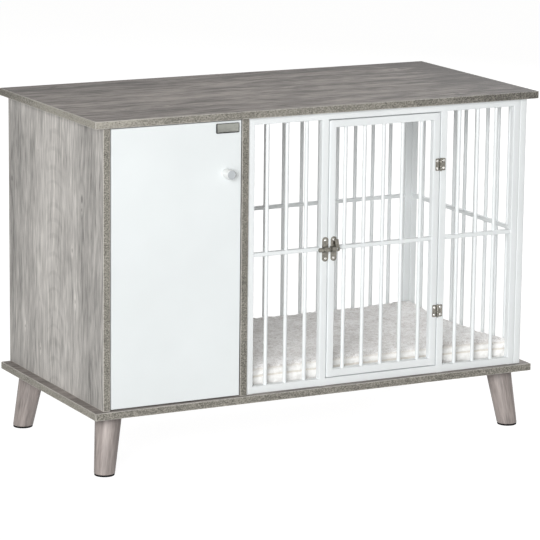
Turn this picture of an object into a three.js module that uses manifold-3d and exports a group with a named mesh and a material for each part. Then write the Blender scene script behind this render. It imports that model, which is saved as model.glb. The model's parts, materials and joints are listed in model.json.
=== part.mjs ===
// Dog crate end table: a storage cabinet and a barred kennel under one table top, on four splayed legs.
// Millimetres. +X runs to the right, +Y to the back and +Z up.
// Pieces are laid out with x from the table top's left end, y from its front edge and z from the floor.
// The exported group then moves the origin to the floor under the middle of the whole object.

import * as THREE from "three";
import { mergeVertices, toCreasedNormals } from "three/addons/utils/BufferGeometryUtils.js";
import Module from "manifold-3d";

const wasm = await Module();
wasm.setup();

// ---- Driving dimensions ----

// Carcass of laminated boards
const TOP_WIDTH = 1000;
const TOP_DEPTH = 480;
const BOARD = 15; // thickness of every laminated board
const BOARD_EDGE = 1; // radius of the edge banding's arris
const LEG_ROOM = 120; // floor to the underside of the bottom board
const INNER_HEIGHT = 562; // bottom board to table top
const END_INSET = 20; // overhang of the boards past the left panel and the right cage frame
const FRONT_INSET = 8; // overhang past the cabinet's front
const FIT = 0.3; // gap between faces that touch

// Cabinet
const CABINET_WIDTH = 285; // clear width between the left panel and the divider
const DOOR_GAP = 2.5; // reveal all round the cabinet door
const BACK_THICKNESS = 3;
const BACK_INSET = 10; // back panel's rear face to the boards' rear edges
const BACK_GROOVE = 5; // depth of the grooves that hold the back panel
const SHELF_UNDERSIDE = 270; // above the bottom board
const SHELF_END_GAP = 0.5;
const SHELF_SETBACK = 40; // shelf's front edge behind the door's rear face
const PIN_SETBACK = 45; // shelf pins from the shelf's front and rear edges
const PIN_SHANK_RADIUS = 2.4;
const PIN_SHANK_LENGTH = 8;
const PIN_HEAD_RADIUS = 4;
const PIN_HEAD_LENGTH = 9;
const PIN_HEAD_ROUNDING = 1;

// Cabinet door knob
const KNOB_RADIUS = 9.5;
const KNOB_LENGTH = 23;
const KNOB_RIM = 1.8; // radius of the front rim
const KNOB_FROM_EDGE = 32; // knob axis from the door's free edge
const KNOB_LEVEL = 456; // above the bottom board

// Concealed hinges of the cabinet door
const CUP_RADIUS = 17.5;
const CUP_DEPTH = 11.5;
const CUP_WALL = 1.2;
const CUP_FROM_EDGE = 4; // cup's rim from the door's hinge edge
const CUP_FLANGE_HEIGHT = 60;
const CUP_FLANGE_WIDTH = 14;
const CUP_FLANGE_CORNER = 4.7;
const CUP_FLANGE_THICKNESS = 1.2;
const CUP_SCREW_SPACING = 48;
const CUP_FROM_END = 95; // cup axis from the door's top and bottom
const HINGE_SCREW_HOLE = 2; // radius
const HINGE_PLATE_HEIGHT = 50;
const HINGE_PLATE_LENGTH = 22;
const HINGE_PLATE_THICKNESS = 2;
const HINGE_PLATE_EAR = 5.5; // radius of the ears above and below the arm
const HINGE_PLATE_SETBACK = 34; // plate's centre behind the door's rear face
const HINGE_PLATE_SCREW_SPACING = 32;
const HINGE_ARM_WIDTH = 11;
const HINGE_ARM_THICKNESS = 3;
const HINGE_ARM_CRANK = 15; // how far an inset door's arm steps away from the panel
const HINGE_ARM_TAIL = 18; // arm behind the plate's centre

// Cage frames
const TUBE = 15; // square tube
const TUBE_CORNER = 1.5;
const BAR_RADIUS = 4;
const BAR_PITCH = 44;
const MID_RAIL_HEIGHT = 8;
const MID_RAIL_DEPTH = 12;
const MID_RAIL_CORNER = 1.5;
const MID_RAIL_LEVEL = 284; // centre above the bottom board
const CAGE_FRONT_INSET = 12; // front frame's face behind the table top's edge
const CAGE_REAR_INSET = 13;
const LEFT_BAY = 151; // clear width left of the cage door's opening
const RIGHT_BARS_SHIFT = 3.5; // bars right of the opening stand this far left of their bay's middle
const DOOR_OPENING = 260;
const CAGE_DOOR_GAP = 2; // all round the cage door

// Butt hinges of the cage door
const BUTT_HEIGHT = 25.5;
const BUTT_REACH = 11.5; // leaf's outer edge from the pin's axis
const BUTT_THICKNESS = 1.2;
const BUTT_CORNER = 2;
const BUTT_KNUCKLES = 5;
const BUTT_KNUCKLE_GAP = 0.3;
const BUTT_KNUCKLE_RADIUS = 2.2;
const BUTT_PIN_RADIUS = 1;
const BUTT_PIN_HEAD = 0.8; // thickness of the head at each end of the pin
const BUTT_SCREW_HOLE = 1.7; // radius
const BUTT_SCREW_SPACING = 15.5;
const BUTT_SCREW_FROM_AXIS = 7.2;
const BUTT_LEVELS = { lower: 132, upper: 438 }; // centres above the bottom board

// Barrel latch of the cage door
const LATCH_LEVEL = 283.5; // bolt's axis above the bottom board
const LATCH_PLATE_WIDTH = 13.5;
const LATCH_PLATE_HEIGHT = 50;
const LATCH_PLATE_THICKNESS = 1.2;
const LATCH_SCREW_SPACING = 37;
const LATCH_SCREW_HOLE = 1.8; // radius
const LATCH_PLATE_SHIFT = 4; // latch plate's centre past the middle of the door's stile
const KEEPER_SHIFT = 1.5; // keeper's centre past the middle of its stile
const STRAP_WIDTH = 9;
const STRAP_WALL = 1.2;
const LATCH_PLAY = 0.35;
const BOLT_RADIUS = 4.2;
const BOLT_CHAMFER = 1;
const BOLT_NOSE = 10; // bolt past the keeper when it is shot
const BOLT_BLADE_THICKNESS = 2.6;
const BOLT_EYE_RADIUS = 5.5;
const BOLT_EYE_HOLE = 2.2; // radius
const THUMB_HEIGHT = 19.5; // top of the thumb piece above the bolt's axis
const THUMB_WIDTH = 7.5;
const THUMB_LEAN = 2.5; // how far the thumb piece's top leans towards the keeper

// Legs
const LEG_TOP_RADIUS = 27;
const LEG_FOOT_RADIUS = 21;
const LEG_FROM_EDGES = 50; // leg's top centre from both edges of the bottom board
const LEG_SPLAY = 16; // foot's shift outwards along x and along y
const LEG_ROUNDING = 1.5;
const CAP_THICKNESS = 3;
const CAP_BEVEL = 0.75;
const CAP_STEP = 0.6; // cap's radius short of the leg's
const LEG_BOLT_RADIUS = 4;
const LEG_BOLT_IN_BOARD = 11;
const LEG_BOLT_IN_LEG = 28;

// Cushion
const CUSHION_GAP = 3; // to the divider and the frames
const CUSHION_SIDE = 45; // height of the boxed side, up to the top seam
const CUSHION_CROWN = 6; // rise of the top over the seam
const CUSHION_CORNER = 14; // corner radius in plan
const CUSHION_WAIST = 7; // how far each side draws in between its corners
const CUSHION_BULGE = 5; // seams behind the fullest line of the side

// ---- Places worked out from the dimensions ----

const FLOOR_Z = LEG_ROOM + BOARD; // top of the bottom board
const CEILING_Z = FLOOR_Z + INNER_HEIGHT;
const PANEL_LEFT = END_INSET;
const CABINET_LEFT = PANEL_LEFT + BOARD;
const CABINET_RIGHT = CABINET_LEFT + CABINET_WIDTH;
const DIVIDER_RIGHT = CABINET_RIGHT + BOARD;
const CAGE_RIGHT = TOP_WIDTH - END_INSET;
const CAGE_FRONT = CAGE_FRONT_INSET;
const CAGE_REAR = TOP_DEPTH - CAGE_REAR_INSET;
const UPRIGHT_HEIGHT = INNER_HEIGHT - 2 * FIT;

const DOOR_LEFT = CABINET_LEFT + DOOR_GAP;
const DOOR_WIDTH = CABINET_WIDTH - 2 * DOOR_GAP;
const DOOR_HEIGHT = INNER_HEIGHT - 2 * DOOR_GAP;
const DOOR_BOTTOM = FLOOR_Z + DOOR_GAP;
const DOOR_REAR = FRONT_INSET + BOARD;
const BACK_FRONT = TOP_DEPTH - BACK_INSET - BACK_THICKNESS;

const FRONT_FRAME_LEFT = DIVIDER_RIGHT + FIT;
const FRONT_FRAME_WIDTH = CAGE_RIGHT - TUBE - FIT - FRONT_FRAME_LEFT;
const OPENING_LEFT = TUBE + LEFT_BAY + TUBE; // inside the front frame
const CAGE_DOOR_WIDTH = DOOR_OPENING - 2 * CAGE_DOOR_GAP;
const CAGE_DOOR_HEIGHT = UPRIGHT_HEIGHT - 2 * TUBE - 2 * CAGE_DOOR_GAP;
const CAGE_DOOR_LEFT = FRONT_FRAME_LEFT + OPENING_LEFT + CAGE_DOOR_GAP;
const CAGE_DOOR_BOTTOM = FLOOR_Z + FIT + TUBE + CAGE_DOOR_GAP;
const HINGE_AXIS_X = CAGE_DOOR_LEFT + CAGE_DOOR_WIDTH + CAGE_DOOR_GAP / 2;
const HINGE_AXIS_Y = CAGE_FRONT - FIT - BUTT_KNUCKLE_RADIUS;

// ---- Finishes ----

function finish(color, roughness, metalness) {
  return new THREE.MeshStandardMaterial({ color, roughness, metalness });
}

const GREY_WOOD = finish(0x9a938d, 0.6, 0);
const WHITE_BOARD = finish(0xf0f3f4, 0.45, 0);
const WHITE_PAINT = finish(0xf1f4f6, 0.35, 0.1);
const NICKEL = finish(0x8f8b84, 0.35, 1);
const STEEL = finish(0xb9b9b7, 0.3, 1);
const BLACK_RUBBER = finish(0x1b1b1c, 0.8, 0);
const PALE_PLUSH = finish(0xe6e2dc, 0.95, 0);

// ---- Tools ----

const CREASE = Math.PI / 6;
const ROUND_STEPS = 24; // sides of a small round piece
const LEG_STEPS = 36; // sides of a leg, a foot cap or the knob
const BOLT_STEPS = 20; // sides of the latch bolt
const BAR_STEPS = 12; // sides of a cage bar, a pin or a knuckle
const BOARD_EDGE_STEPS = 2;
const TUBE_CORNER_STEPS = 2;
const PLATE_CURVE_STEPS = 4; // for the corners and holes of a small plate
const ROUND_END_STEPS = 6; // for the round ends of the latch's plates
const ARCH_STEPS = 10; // for the straps and the bolt's eye
const CUSHION_CORNER_STEPS = 5;
const CUSHION_SIDE_STEPS = 8;
const MERGE_DISTANCE = 1e-4; // corners closer than this are one

function weld(geometry) {
  const bare = geometry.clone();
  bare.deleteAttribute("normal");
  bare.deleteAttribute("uv");
  return mergeVertices(bare, MERGE_DISTANCE);
}

function toSolid(geometry) {
  const welded = weld(geometry);
  const vertProperties = new Float32Array(welded.attributes.position.array);
  const triVerts = new Uint32Array(welded.index.array);
  return new wasm.Manifold(new wasm.Mesh({ numProp: 3, vertProperties, triVerts }));
}

function toGeometry(solid) {
  const mesh = solid.getMesh();
  const geometry = new THREE.BufferGeometry();
  geometry.setAttribute("position", new THREE.BufferAttribute(mesh.vertProperties, 3));
  geometry.setIndex(new THREE.BufferAttribute(mesh.triVerts, 1));
  return geometry;
}

function join(geometries) {
  return toGeometry(geometries.map(toSolid).reduce((whole, piece) => whole.add(piece)));
}

function cut(geometry, cutters) {
  const whole = toSolid(geometry);
  return toGeometry(cutters.map(toSolid).reduce((rest, cutter) => rest.subtract(cutter), whole));
}

const table = new THREE.Group();

// Adds a named piece with its geometry's origin at (x, y, z).
function addPiece(name, geometry, material, x, y, z) {
  const mesh = new THREE.Mesh(toCreasedNormals(weld(geometry), CREASE), material.clone());
  mesh.name = name;
  mesh.position.set(x, y, z);
  table.add(mesh);
  return mesh;
}

function block(width, depth, height) {
  return new THREE.BoxGeometry(width, depth, height).translate(width / 2, depth / 2, height / 2);
}

// A cylinder from the origin along +Z.
function rod(radius, length, steps = ROUND_STEPS) {
  const upright = new THREE.CylinderGeometry(radius, radius, length, steps).rotateX(Math.PI / 2);
  return upright.translate(0, 0, length / 2);
}

// Turns a profile of [radius, height] points about +Z.
function turned(profile, steps = ROUND_STEPS) {
  const points = profile.map(([radius, height]) => new THREE.Vector2(radius, height));
  return new THREE.LatheGeometry(points, steps).rotateX(Math.PI / 2);
}

// Points of a quarter round in a turned profile, about (radius, height) from one angle to another.
function roundOver(radius, height, size, from, to, steps = 3) {
  return Array.from({ length: steps + 1 }, (_, step) => {
    const angle = from + ((to - from) * step) / steps;
    return [radius + size * Math.cos(angle), height + size * Math.sin(angle)];
  });
}

// A rectangle with round corners, from its lower left corner.
function roundedRectangle(width, height, corner) {
  const shape = new THREE.Shape();
  shape.moveTo(corner, 0);
  shape.lineTo(width - corner, 0);
  shape.absarc(width - corner, corner, corner, -Math.PI / 2, 0);
  shape.lineTo(width, height - corner);
  shape.absarc(width - corner, height - corner, corner, 0, Math.PI / 2);
  shape.lineTo(corner, height);
  shape.absarc(corner, height - corner, corner, Math.PI / 2, Math.PI);
  shape.lineTo(0, corner);
  shape.absarc(corner, corner, corner, Math.PI, 1.5 * Math.PI);
  return shape;
}

function circleHole(x, y, radius) {
  const hole = new THREE.Path();
  hole.absarc(x, y, radius, 0, 2 * Math.PI);
  return hole;
}

function extrude(shape, depth, curveSegments = 3) {
  return new THREE.ExtrudeGeometry(shape, { depth, curveSegments, bevelEnabled: false });
}

// A flat plate drawn in x and z, from y = 0 towards the front.
function facePlate(shape, thickness, curveSegments) {
  return extrude(shape, thickness, curveSegments).rotateX(Math.PI / 2);
}

// A board with banded edges: every arris round the edge is softened.
function board(width, depth, thickness) {
  const shape = new THREE.Shape([
    new THREE.Vector2(0, 0),
    new THREE.Vector2(width, 0),
    new THREE.Vector2(width, depth),
    new THREE.Vector2(0, depth),
  ]);
  const geometry = new THREE.ExtrudeGeometry(shape, {
    depth: thickness - 2 * BOARD_EDGE,
    bevelThickness: BOARD_EDGE,
    bevelSize: BOARD_EDGE,
    bevelOffset: -BOARD_EDGE,
    bevelSegments: BOARD_EDGE_STEPS,
  });
  return geometry.translate(0, 0, BOARD_EDGE);
}

// ---- Boards ----

const LEG_RIGHT_X = TOP_WIDTH - LEG_FROM_EDGES;
const LEG_REAR_Y = TOP_DEPTH - LEG_FROM_EDGES;
// Centre of each leg's top, and which way along x and y it splays.
const LEG_TOPS = [
  { corner: "front_left", x: LEG_FROM_EDGES, y: LEG_FROM_EDGES, outX: -1, outY: -1 },
  { corner: "front_right", x: LEG_RIGHT_X, y: LEG_FROM_EDGES, outX: 1, outY: -1 },
  { corner: "rear_left", x: LEG_FROM_EDGES, y: LEG_REAR_Y, outX: -1, outY: 1 },
  { corner: "rear_right", x: LEG_RIGHT_X, y: LEG_REAR_Y, outX: 1, outY: 1 },
];

function addBoards() {
  addPiece("top_panel", board(TOP_WIDTH, TOP_DEPTH, BOARD), GREY_WOOD, 0, 0, CEILING_Z);
  // Blind holes for the leg bolts, from below.
  const holes = LEG_TOPS.map(({ x, y }) =>
    rod(LEG_BOLT_RADIUS + FIT, LEG_BOLT_IN_BOARD + FIT + BOARD).translate(x, y, -BOARD));
  addPiece("bottom_panel", cut(board(TOP_WIDTH, TOP_DEPTH, BOARD), holes), GREY_WOOD, 0, 0, LEG_ROOM);
}

// An upright board seen in plan, its groove for the back panel in the face towards +X.
function uprightShape(depth) {
  const shape = new THREE.Shape();
  const grooveFront = BACK_FRONT - FRONT_INSET - FIT;
  const grooveRear = grooveFront + BACK_THICKNESS + 2 * FIT;
  shape.moveTo(BOARD_EDGE, 0);
  shape.lineTo(BOARD - BOARD_EDGE, 0);
  shape.absarc(BOARD - BOARD_EDGE, BOARD_EDGE, BOARD_EDGE, -Math.PI / 2, 0);
  shape.lineTo(BOARD, grooveFront);
  shape.lineTo(BOARD - BACK_GROOVE, grooveFront);
  shape.lineTo(BOARD - BACK_GROOVE, grooveRear);
  shape.lineTo(BOARD, grooveRear);
  shape.lineTo(BOARD, depth);
  shape.lineTo(0, depth);
  shape.lineTo(0, BOARD_EDGE);
  shape.absarc(BOARD_EDGE, BOARD_EDGE, BOARD_EDGE, Math.PI, 1.5 * Math.PI);
  return shape;
}

// Holes for the shelf pins, drilled into the face at x = BOARD.
function pinHoles() {
  return shelfPinPlaces().map(({ y, z }) =>
    rod(PIN_SHANK_RADIUS + FIT, PIN_SHANK_LENGTH + FIT + BOARD)
      .rotateY(Math.PI / 2)
      .translate(BOARD - PIN_SHANK_LENGTH - FIT, y - FRONT_INSET, z - FLOOR_Z - FIT));
}

function addUprights() {
  const depth = TOP_DEPTH - FRONT_INSET;
  const upright = cut(extrude(uprightShape(depth), UPRIGHT_HEIGHT), pinHoles());
  addPiece("left_side_panel", upright, GREY_WOOD, PANEL_LEFT, FRONT_INSET, FLOOR_Z + FIT);
  // The divider is the same board turned to face the other way.
  const turnedOver = upright.clone().applyMatrix4(new THREE.Matrix4().makeScale(-1, 1, 1));
  turnedOver.index.array.reverse();
  addPiece("divider_panel", turnedOver, GREY_WOOD, DIVIDER_RIGHT, FRONT_INSET, FLOOR_Z + FIT);
}

// ---- Inside the cabinet ----

const SHELF_FRONT = DOOR_REAR + SHELF_SETBACK;
const SHELF_DEPTH = BACK_FRONT - SHELF_END_GAP - SHELF_FRONT;
const SHELF_Z = FLOOR_Z + SHELF_UNDERSIDE;

function shelfPinPlaces() {
  const z = SHELF_Z - FIT - PIN_HEAD_RADIUS;
  return [
    { end: "front", y: SHELF_FRONT + PIN_SETBACK, z },
    { end: "rear", y: SHELF_FRONT + SHELF_DEPTH - PIN_SETBACK, z },
  ];
}

// A shelf pin along +X, its shank from x = 0 back into the board.
function shelfPin() {
  const round = PIN_HEAD_ROUNDING;
  const profile = [
    [0, -PIN_SHANK_LENGTH],
    [PIN_SHANK_RADIUS, -PIN_SHANK_LENGTH],
    [PIN_SHANK_RADIUS, FIT],
    [PIN_HEAD_RADIUS, FIT],
    ...roundOver(PIN_HEAD_RADIUS - round, PIN_HEAD_LENGTH - round, round, 0, Math.PI / 2),
    [0, PIN_HEAD_LENGTH],
  ];
  return turned(profile, BAR_STEPS).rotateY(Math.PI / 2);
}

function addCabinetInside() {
  const backLeft = CABINET_LEFT - BACK_GROOVE + FIT;
  const backWidth = CABINET_WIDTH + 2 * BACK_GROOVE - 2 * FIT;
  const back = block(backWidth, BACK_THICKNESS, UPRIGHT_HEIGHT);
  addPiece("cabinet_back_panel", back, WHITE_BOARD, backLeft, BACK_FRONT, FLOOR_Z + FIT);

  const shelf = board(CABINET_WIDTH - 2 * SHELF_END_GAP, SHELF_DEPTH, BOARD);
  addPiece("cabinet_shelf", shelf, GREY_WOOD, CABINET_LEFT + SHELF_END_GAP, SHELF_FRONT, SHELF_Z);

  for (const { end, y, z } of shelfPinPlaces()) {
    addPiece(`shelf_pin_${end}_left`, shelfPin(), STEEL, CABINET_LEFT, y, z);
    addPiece(`shelf_pin_${end}_right`, shelfPin().rotateZ(Math.PI), STEEL, CABINET_RIGHT, y, z);
  }
}

// ---- Cabinet door, knob and concealed hinges ----

const CUP_X = CUP_FROM_EDGE + CUP_RADIUS; // from the door's hinge edge
// Cup axes above the door's bottom edge.
const CUP_LEVELS = { lower: CUP_FROM_END, upper: DOOR_HEIGHT - CUP_FROM_END };

function addCabinetDoor() {
  const door = board(DOOR_WIDTH, DOOR_HEIGHT, BOARD).rotateX(Math.PI / 2).translate(0, BOARD, 0);
  const recesses = Object.values(CUP_LEVELS).map((level) =>
    rod(CUP_RADIUS + FIT, CUP_DEPTH + FIT + BOARD, ROUND_STEPS)
      .rotateX(-Math.PI / 2)
      .translate(CUP_X, BOARD - CUP_DEPTH - FIT, level));
  addPiece("cabinet_door", cut(door, recesses), WHITE_BOARD, DOOR_LEFT, FRONT_INSET, DOOR_BOTTOM);

  const knobProfile = [
    [0, FIT],
    [KNOB_RADIUS, FIT],
    ...roundOver(KNOB_RADIUS - KNOB_RIM, KNOB_LENGTH - KNOB_RIM, KNOB_RIM, 0, Math.PI / 2),
    [0, KNOB_LENGTH],
  ];
  const knob = turned(knobProfile, LEG_STEPS).rotateX(Math.PI / 2);
  const knobX = DOOR_LEFT + DOOR_WIDTH - KNOB_FROM_EDGE;
  addPiece("door_knob", knob, WHITE_BOARD, knobX, FRONT_INSET, FLOOR_Z + KNOB_LEVEL);
}

// The cup with its screw flange, open towards +Y, its flange's front on y = 0.
function hingeCup() {
  const rim = CUP_RADIUS - CUP_WALL;
  const bowl = turned([
    [0, -CUP_DEPTH],
    [CUP_RADIUS - CUP_WALL, -CUP_DEPTH],
    [CUP_RADIUS, CUP_WALL - CUP_DEPTH],
    [CUP_RADIUS, CUP_FLANGE_THICKNESS],
    [rim, CUP_FLANGE_THICKNESS],
    [rim, CUP_WALL - CUP_DEPTH],
    [0, CUP_WALL - CUP_DEPTH],
  ]);
  const flangeShape = roundedRectangle(CUP_FLANGE_WIDTH, CUP_FLANGE_HEIGHT, CUP_FLANGE_CORNER);
  for (const side of [-1, 1]) {
    const level = CUP_FLANGE_HEIGHT / 2 + (side * CUP_SCREW_SPACING) / 2;
    flangeShape.holes.push(circleHole(CUP_FLANGE_WIDTH / 2, level, HINGE_SCREW_HOLE));
  }
  const flange = extrude(flangeShape, CUP_FLANGE_THICKNESS - FIT, PLATE_CURVE_STEPS)
    .translate(-CUP_FLANGE_WIDTH / 2, -CUP_FLANGE_HEIGHT / 2, FIT);
  const middle = rod(rim, CUP_DEPTH + BOARD).translate(0, 0, CUP_WALL - CUP_DEPTH);
  return cut(join([bowl, flange]), [middle]).rotateX(-Math.PI / 2);
}

// The mounting plate on the left panel, its back on x = 0, centred on y = 0 and z = 0.
function hingePlate() {
  const shape = new THREE.Shape();
  const half = HINGE_PLATE_HEIGHT / 2;
  const waist = HINGE_ARM_WIDTH / 2;
  const ear = HINGE_PLATE_EAR;
  const nose = HINGE_PLATE_LENGTH / 2;
  shape.moveTo(-nose, -waist);
  shape.lineTo(-ear, -waist);
  shape.lineTo(-ear, -half + ear);
  shape.absarc(0, -half + ear, ear, Math.PI, 2 * Math.PI);
  shape.lineTo(ear, -waist);
  shape.lineTo(nose, -waist);
  shape.lineTo(nose, waist);
  shape.lineTo(ear, waist);
  shape.lineTo(ear, half - ear);
  shape.absarc(0, half - ear, ear, 0, Math.PI);
  shape.lineTo(-ear, waist);
  shape.lineTo(-nose, waist);
  for (const side of [-1, 1]) {
    shape.holes.push(circleHole(0, (side * HINGE_PLATE_SCREW_SPACING) / 2, HINGE_SCREW_HOLE));
  }
  return extrude(shape, HINGE_PLATE_THICKNESS, PLATE_CURVE_STEPS).applyMatrix4(faceToRight());
}

// Takes a shape drawn in x and y and extruded along z to y, z and x.
function faceToRight() {
  return new THREE.Matrix4().makeBasis(
    new THREE.Vector3(0, 1, 0),
    new THREE.Vector3(0, 0, 1),
    new THREE.Vector3(1, 0, 0),
  );
}

// The cranked arm seen in plan: along the plate, out past the panel's face and up to the cup.
function hingeArm() {
  const base = HINGE_PLATE_THICKNESS + FIT;
  const thick = HINGE_ARM_THICKNESS;
  const reach = HINGE_PLATE_SETBACK - CUP_FLANGE_THICKNESS - 2 * FIT; // forward of the plate's centre
  const crank = HINGE_ARM_CRANK;
  const line = [
    [base, HINGE_ARM_TAIL],
    [base, -HINGE_PLATE_LENGTH / 2],
    [base + crank, -HINGE_PLATE_LENGTH / 2 - crank / 2],
    [base + crank, -reach],
  ];
  const shape = new THREE.Shape();
  shape.moveTo(line[0][0], line[0][1]);
  for (const [x, y] of line.slice(1)) {
    shape.lineTo(x, y);
  }
  for (const [x, y] of line.slice().reverse()) {
    shape.lineTo(x + thick, y);
  }
  return extrude(shape, HINGE_ARM_WIDTH).translate(0, 0, -HINGE_ARM_WIDTH / 2);
}

function addConcealedHinges() {
  for (const [level, height] of Object.entries(CUP_LEVELS)) {
    const z = DOOR_BOTTOM + height;
    const plateY = DOOR_REAR + HINGE_PLATE_SETBACK;
    addPiece(`${level}_hinge_cup`, hingeCup(), STEEL, DOOR_LEFT + CUP_X, DOOR_REAR, z);
    addPiece(`${level}_hinge_plate`, hingePlate(), STEEL, CABINET_LEFT + FIT, plateY, z);
    addPiece(`${level}_hinge_arm`, hingeArm(), STEEL, CABINET_LEFT + FIT, plateY, z);
  }
}

// ---- Barred cage frames ----

// A tube of rectangular section with round edges, from the origin along +Z, centred in x and y.
function tube(width, depth, corner, length) {
  const shape = roundedRectangle(width, depth, corner);
  return extrude(shape, length, TUBE_CORNER_STEPS).translate(-width / 2, -depth / 2, 0);
}

// One clear bay of a frame: a mid rail from side to side and a row of bars from rail to rail.
function bayPieces(left, width, height, railLevel, shift) {
  const rail = tube(MID_RAIL_HEIGHT, MID_RAIL_DEPTH, MID_RAIL_CORNER, width + TUBE)
    .rotateY(Math.PI / 2)
    .translate(left - TUBE / 2, 0, railLevel);
  const count = Math.floor(width / BAR_PITCH);
  const first = left + (width - (count - 1) * BAR_PITCH) / 2 - shift;
  const bars = Array.from({ length: count }, (_, index) =>
    rod(BAR_RADIUS, height - TUBE, BAR_STEPS).translate(first + index * BAR_PITCH, 0, TUBE / 2));
  return [rail, ...bars];
}

// A welded frame standing on z = 0 from x = 0, centred in y: top and bottom rails, a stile beside
// each bay, and the bars of every bay that is barred. Bays run from the left.
function barredFrame(width, height, railLevel, bays) {
  const rail = tube(TUBE, TUBE, TUBE_CORNER, width - TUBE).rotateY(Math.PI / 2).translate(TUBE / 2, 0, 0);
  const stile = tube(TUBE, TUBE, TUBE_CORNER, height);
  const pieces = [
    rail.clone().translate(0, 0, TUBE / 2),
    rail.clone().translate(0, 0, height - TUBE / 2),
    stile.clone().translate(TUBE / 2, 0, 0),
  ];
  let left = TUBE;
  for (const { clear, barred, shift } of bays) {
    if (barred) {
      pieces.push(...bayPieces(left, clear, height, railLevel, shift));
    }
    left += clear + TUBE;
    pieces.push(stile.clone().translate(left - TUBE / 2, 0, 0));
  }
  return join(pieces);
}

// The one bay of a frame with bars from end to end.
function oneBay(width) {
  return [{ clear: width - 2 * TUBE, barred: true, shift: 0 }];
}

function addCage() {
  const frameZ = FLOOR_Z + FIT;
  const railLevel = MID_RAIL_LEVEL - FIT;
  const frontY = CAGE_FRONT + TUBE / 2;
  const rearY = CAGE_REAR - TUBE / 2;

  const rightBay = FRONT_FRAME_WIDTH - OPENING_LEFT - DOOR_OPENING - 2 * TUBE;
  const frontBays = [
    { clear: LEFT_BAY, barred: true, shift: 0 },
    { clear: DOOR_OPENING, barred: false },
    { clear: rightBay, barred: true, shift: RIGHT_BARS_SHIFT },
  ];
  const front = barredFrame(FRONT_FRAME_WIDTH, UPRIGHT_HEIGHT, railLevel, frontBays);
  addPiece("cage_front_frame", front, WHITE_PAINT, FRONT_FRAME_LEFT, frontY, frameZ);

  const back = barredFrame(FRONT_FRAME_WIDTH, UPRIGHT_HEIGHT, railLevel, oneBay(FRONT_FRAME_WIDTH));
  addPiece("cage_back_frame", back, WHITE_PAINT, FRONT_FRAME_LEFT, rearY, frameZ);

  const sideLength = CAGE_REAR - CAGE_FRONT;
  const side = barredFrame(sideLength, UPRIGHT_HEIGHT, railLevel, oneBay(sideLength));
  const sideX = CAGE_RIGHT - TUBE / 2;
  addPiece("cage_side_frame", side.rotateZ(Math.PI / 2), WHITE_PAINT, sideX, CAGE_FRONT, frameZ);

  const doorRail = FLOOR_Z + MID_RAIL_LEVEL - CAGE_DOOR_BOTTOM;
  const door = barredFrame(CAGE_DOOR_WIDTH, CAGE_DOOR_HEIGHT, doorRail, oneBay(CAGE_DOOR_WIDTH));
  addPiece("cage_door", door, WHITE_PAINT, CAGE_DOOR_LEFT, frontY, CAGE_DOOR_BOTTOM);
}

// ---- Butt hinges of the cage door ----

// A leaf to the right of the pin's axis at x = 0, y = 0, centred on z = 0, with the knuckles listed.
function buttLeaf(knuckles) {
  const bore = BUTT_PIN_RADIUS + FIT;
  const pitch = BUTT_HEIGHT / BUTT_KNUCKLES;
  const edge = BUTT_KNUCKLE_RADIUS + BUTT_KNUCKLE_GAP; // plate's inner edge from the axis
  const shape = roundedRectangle(BUTT_REACH - edge, BUTT_HEIGHT, BUTT_CORNER);
  for (const side of [-1, 1]) {
    const level = BUTT_HEIGHT / 2 + (side * BUTT_SCREW_SPACING) / 2;
    shape.holes.push(circleHole(BUTT_SCREW_FROM_AXIS - edge, level, BUTT_SCREW_HOLE));
  }
  const plate = facePlate(shape, BUTT_THICKNESS, PLATE_CURVE_STEPS)
    .translate(edge, BUTT_KNUCKLE_RADIUS, -BUTT_HEIGHT / 2);
  const pieces = [plate];
  for (const index of knuckles) {
    const low = index * pitch - BUTT_HEIGHT / 2 + BUTT_KNUCKLE_GAP / 2;
    const length = pitch - BUTT_KNUCKLE_GAP;
    const root = block(edge + BUTT_CORNER, BUTT_THICKNESS, length);
    pieces.push(rod(BUTT_KNUCKLE_RADIUS, length, BAR_STEPS).translate(0, 0, low));
    pieces.push(root.translate(0, BUTT_KNUCKLE_RADIUS - BUTT_THICKNESS, low));
  }
  const drill = rod(bore, 2 * BUTT_HEIGHT, BAR_STEPS).translate(0, 0, -BUTT_HEIGHT);
  return cut(join(pieces), [drill]);
}

// The pin with a low head at each end, centred on z = 0.
function buttPin() {
  const half = BUTT_HEIGHT / 2;
  const head = BUTT_KNUCKLE_RADIUS - FIT;
  const profile = [
    [0, -half - FIT - BUTT_PIN_HEAD],
    [BUTT_PIN_RADIUS, -half - FIT - BUTT_PIN_HEAD],
    [head, -half - FIT - BUTT_PIN_HEAD / 2],
    [head, -half - FIT],
    [BUTT_PIN_RADIUS, -half - FIT],
    [BUTT_PIN_RADIUS, half + FIT],
    [head, half + FIT],
    [head, half + FIT + BUTT_PIN_HEAD / 2],
    [BUTT_PIN_RADIUS, half + FIT + BUTT_PIN_HEAD],
    [0, half + FIT + BUTT_PIN_HEAD],
  ];
  return turned(profile, BAR_STEPS);
}

function addButtHinges() {
  const all = Array.from({ length: BUTT_KNUCKLES }, (_, index) => index);
  const frameLeaf = buttLeaf(all.filter((index) => index % 2 === 0));
  const doorLeaf = buttLeaf(all.filter((index) => index % 2 === 1)).rotateY(Math.PI);
  for (const [level, height] of Object.entries(BUTT_LEVELS)) {
    const z = FLOOR_Z + height;
    addPiece(`${level}_hinge_frame_leaf`, frameLeaf, NICKEL, HINGE_AXIS_X, HINGE_AXIS_Y, z);
    addPiece(`${level}_hinge_door_leaf`, doorLeaf, NICKEL, HINGE_AXIS_X, HINGE_AXIS_Y, z);
    addPiece(`${level}_hinge_pin`, buttPin(), NICKEL, HINGE_AXIS_X, HINGE_AXIS_Y, z);
  }
}

// ---- Barrel latch of the cage door ----

const BOLT_STANDOFF = LATCH_PLATE_THICKNESS + LATCH_PLAY + BOLT_RADIUS; // axis from the plate's back

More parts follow.
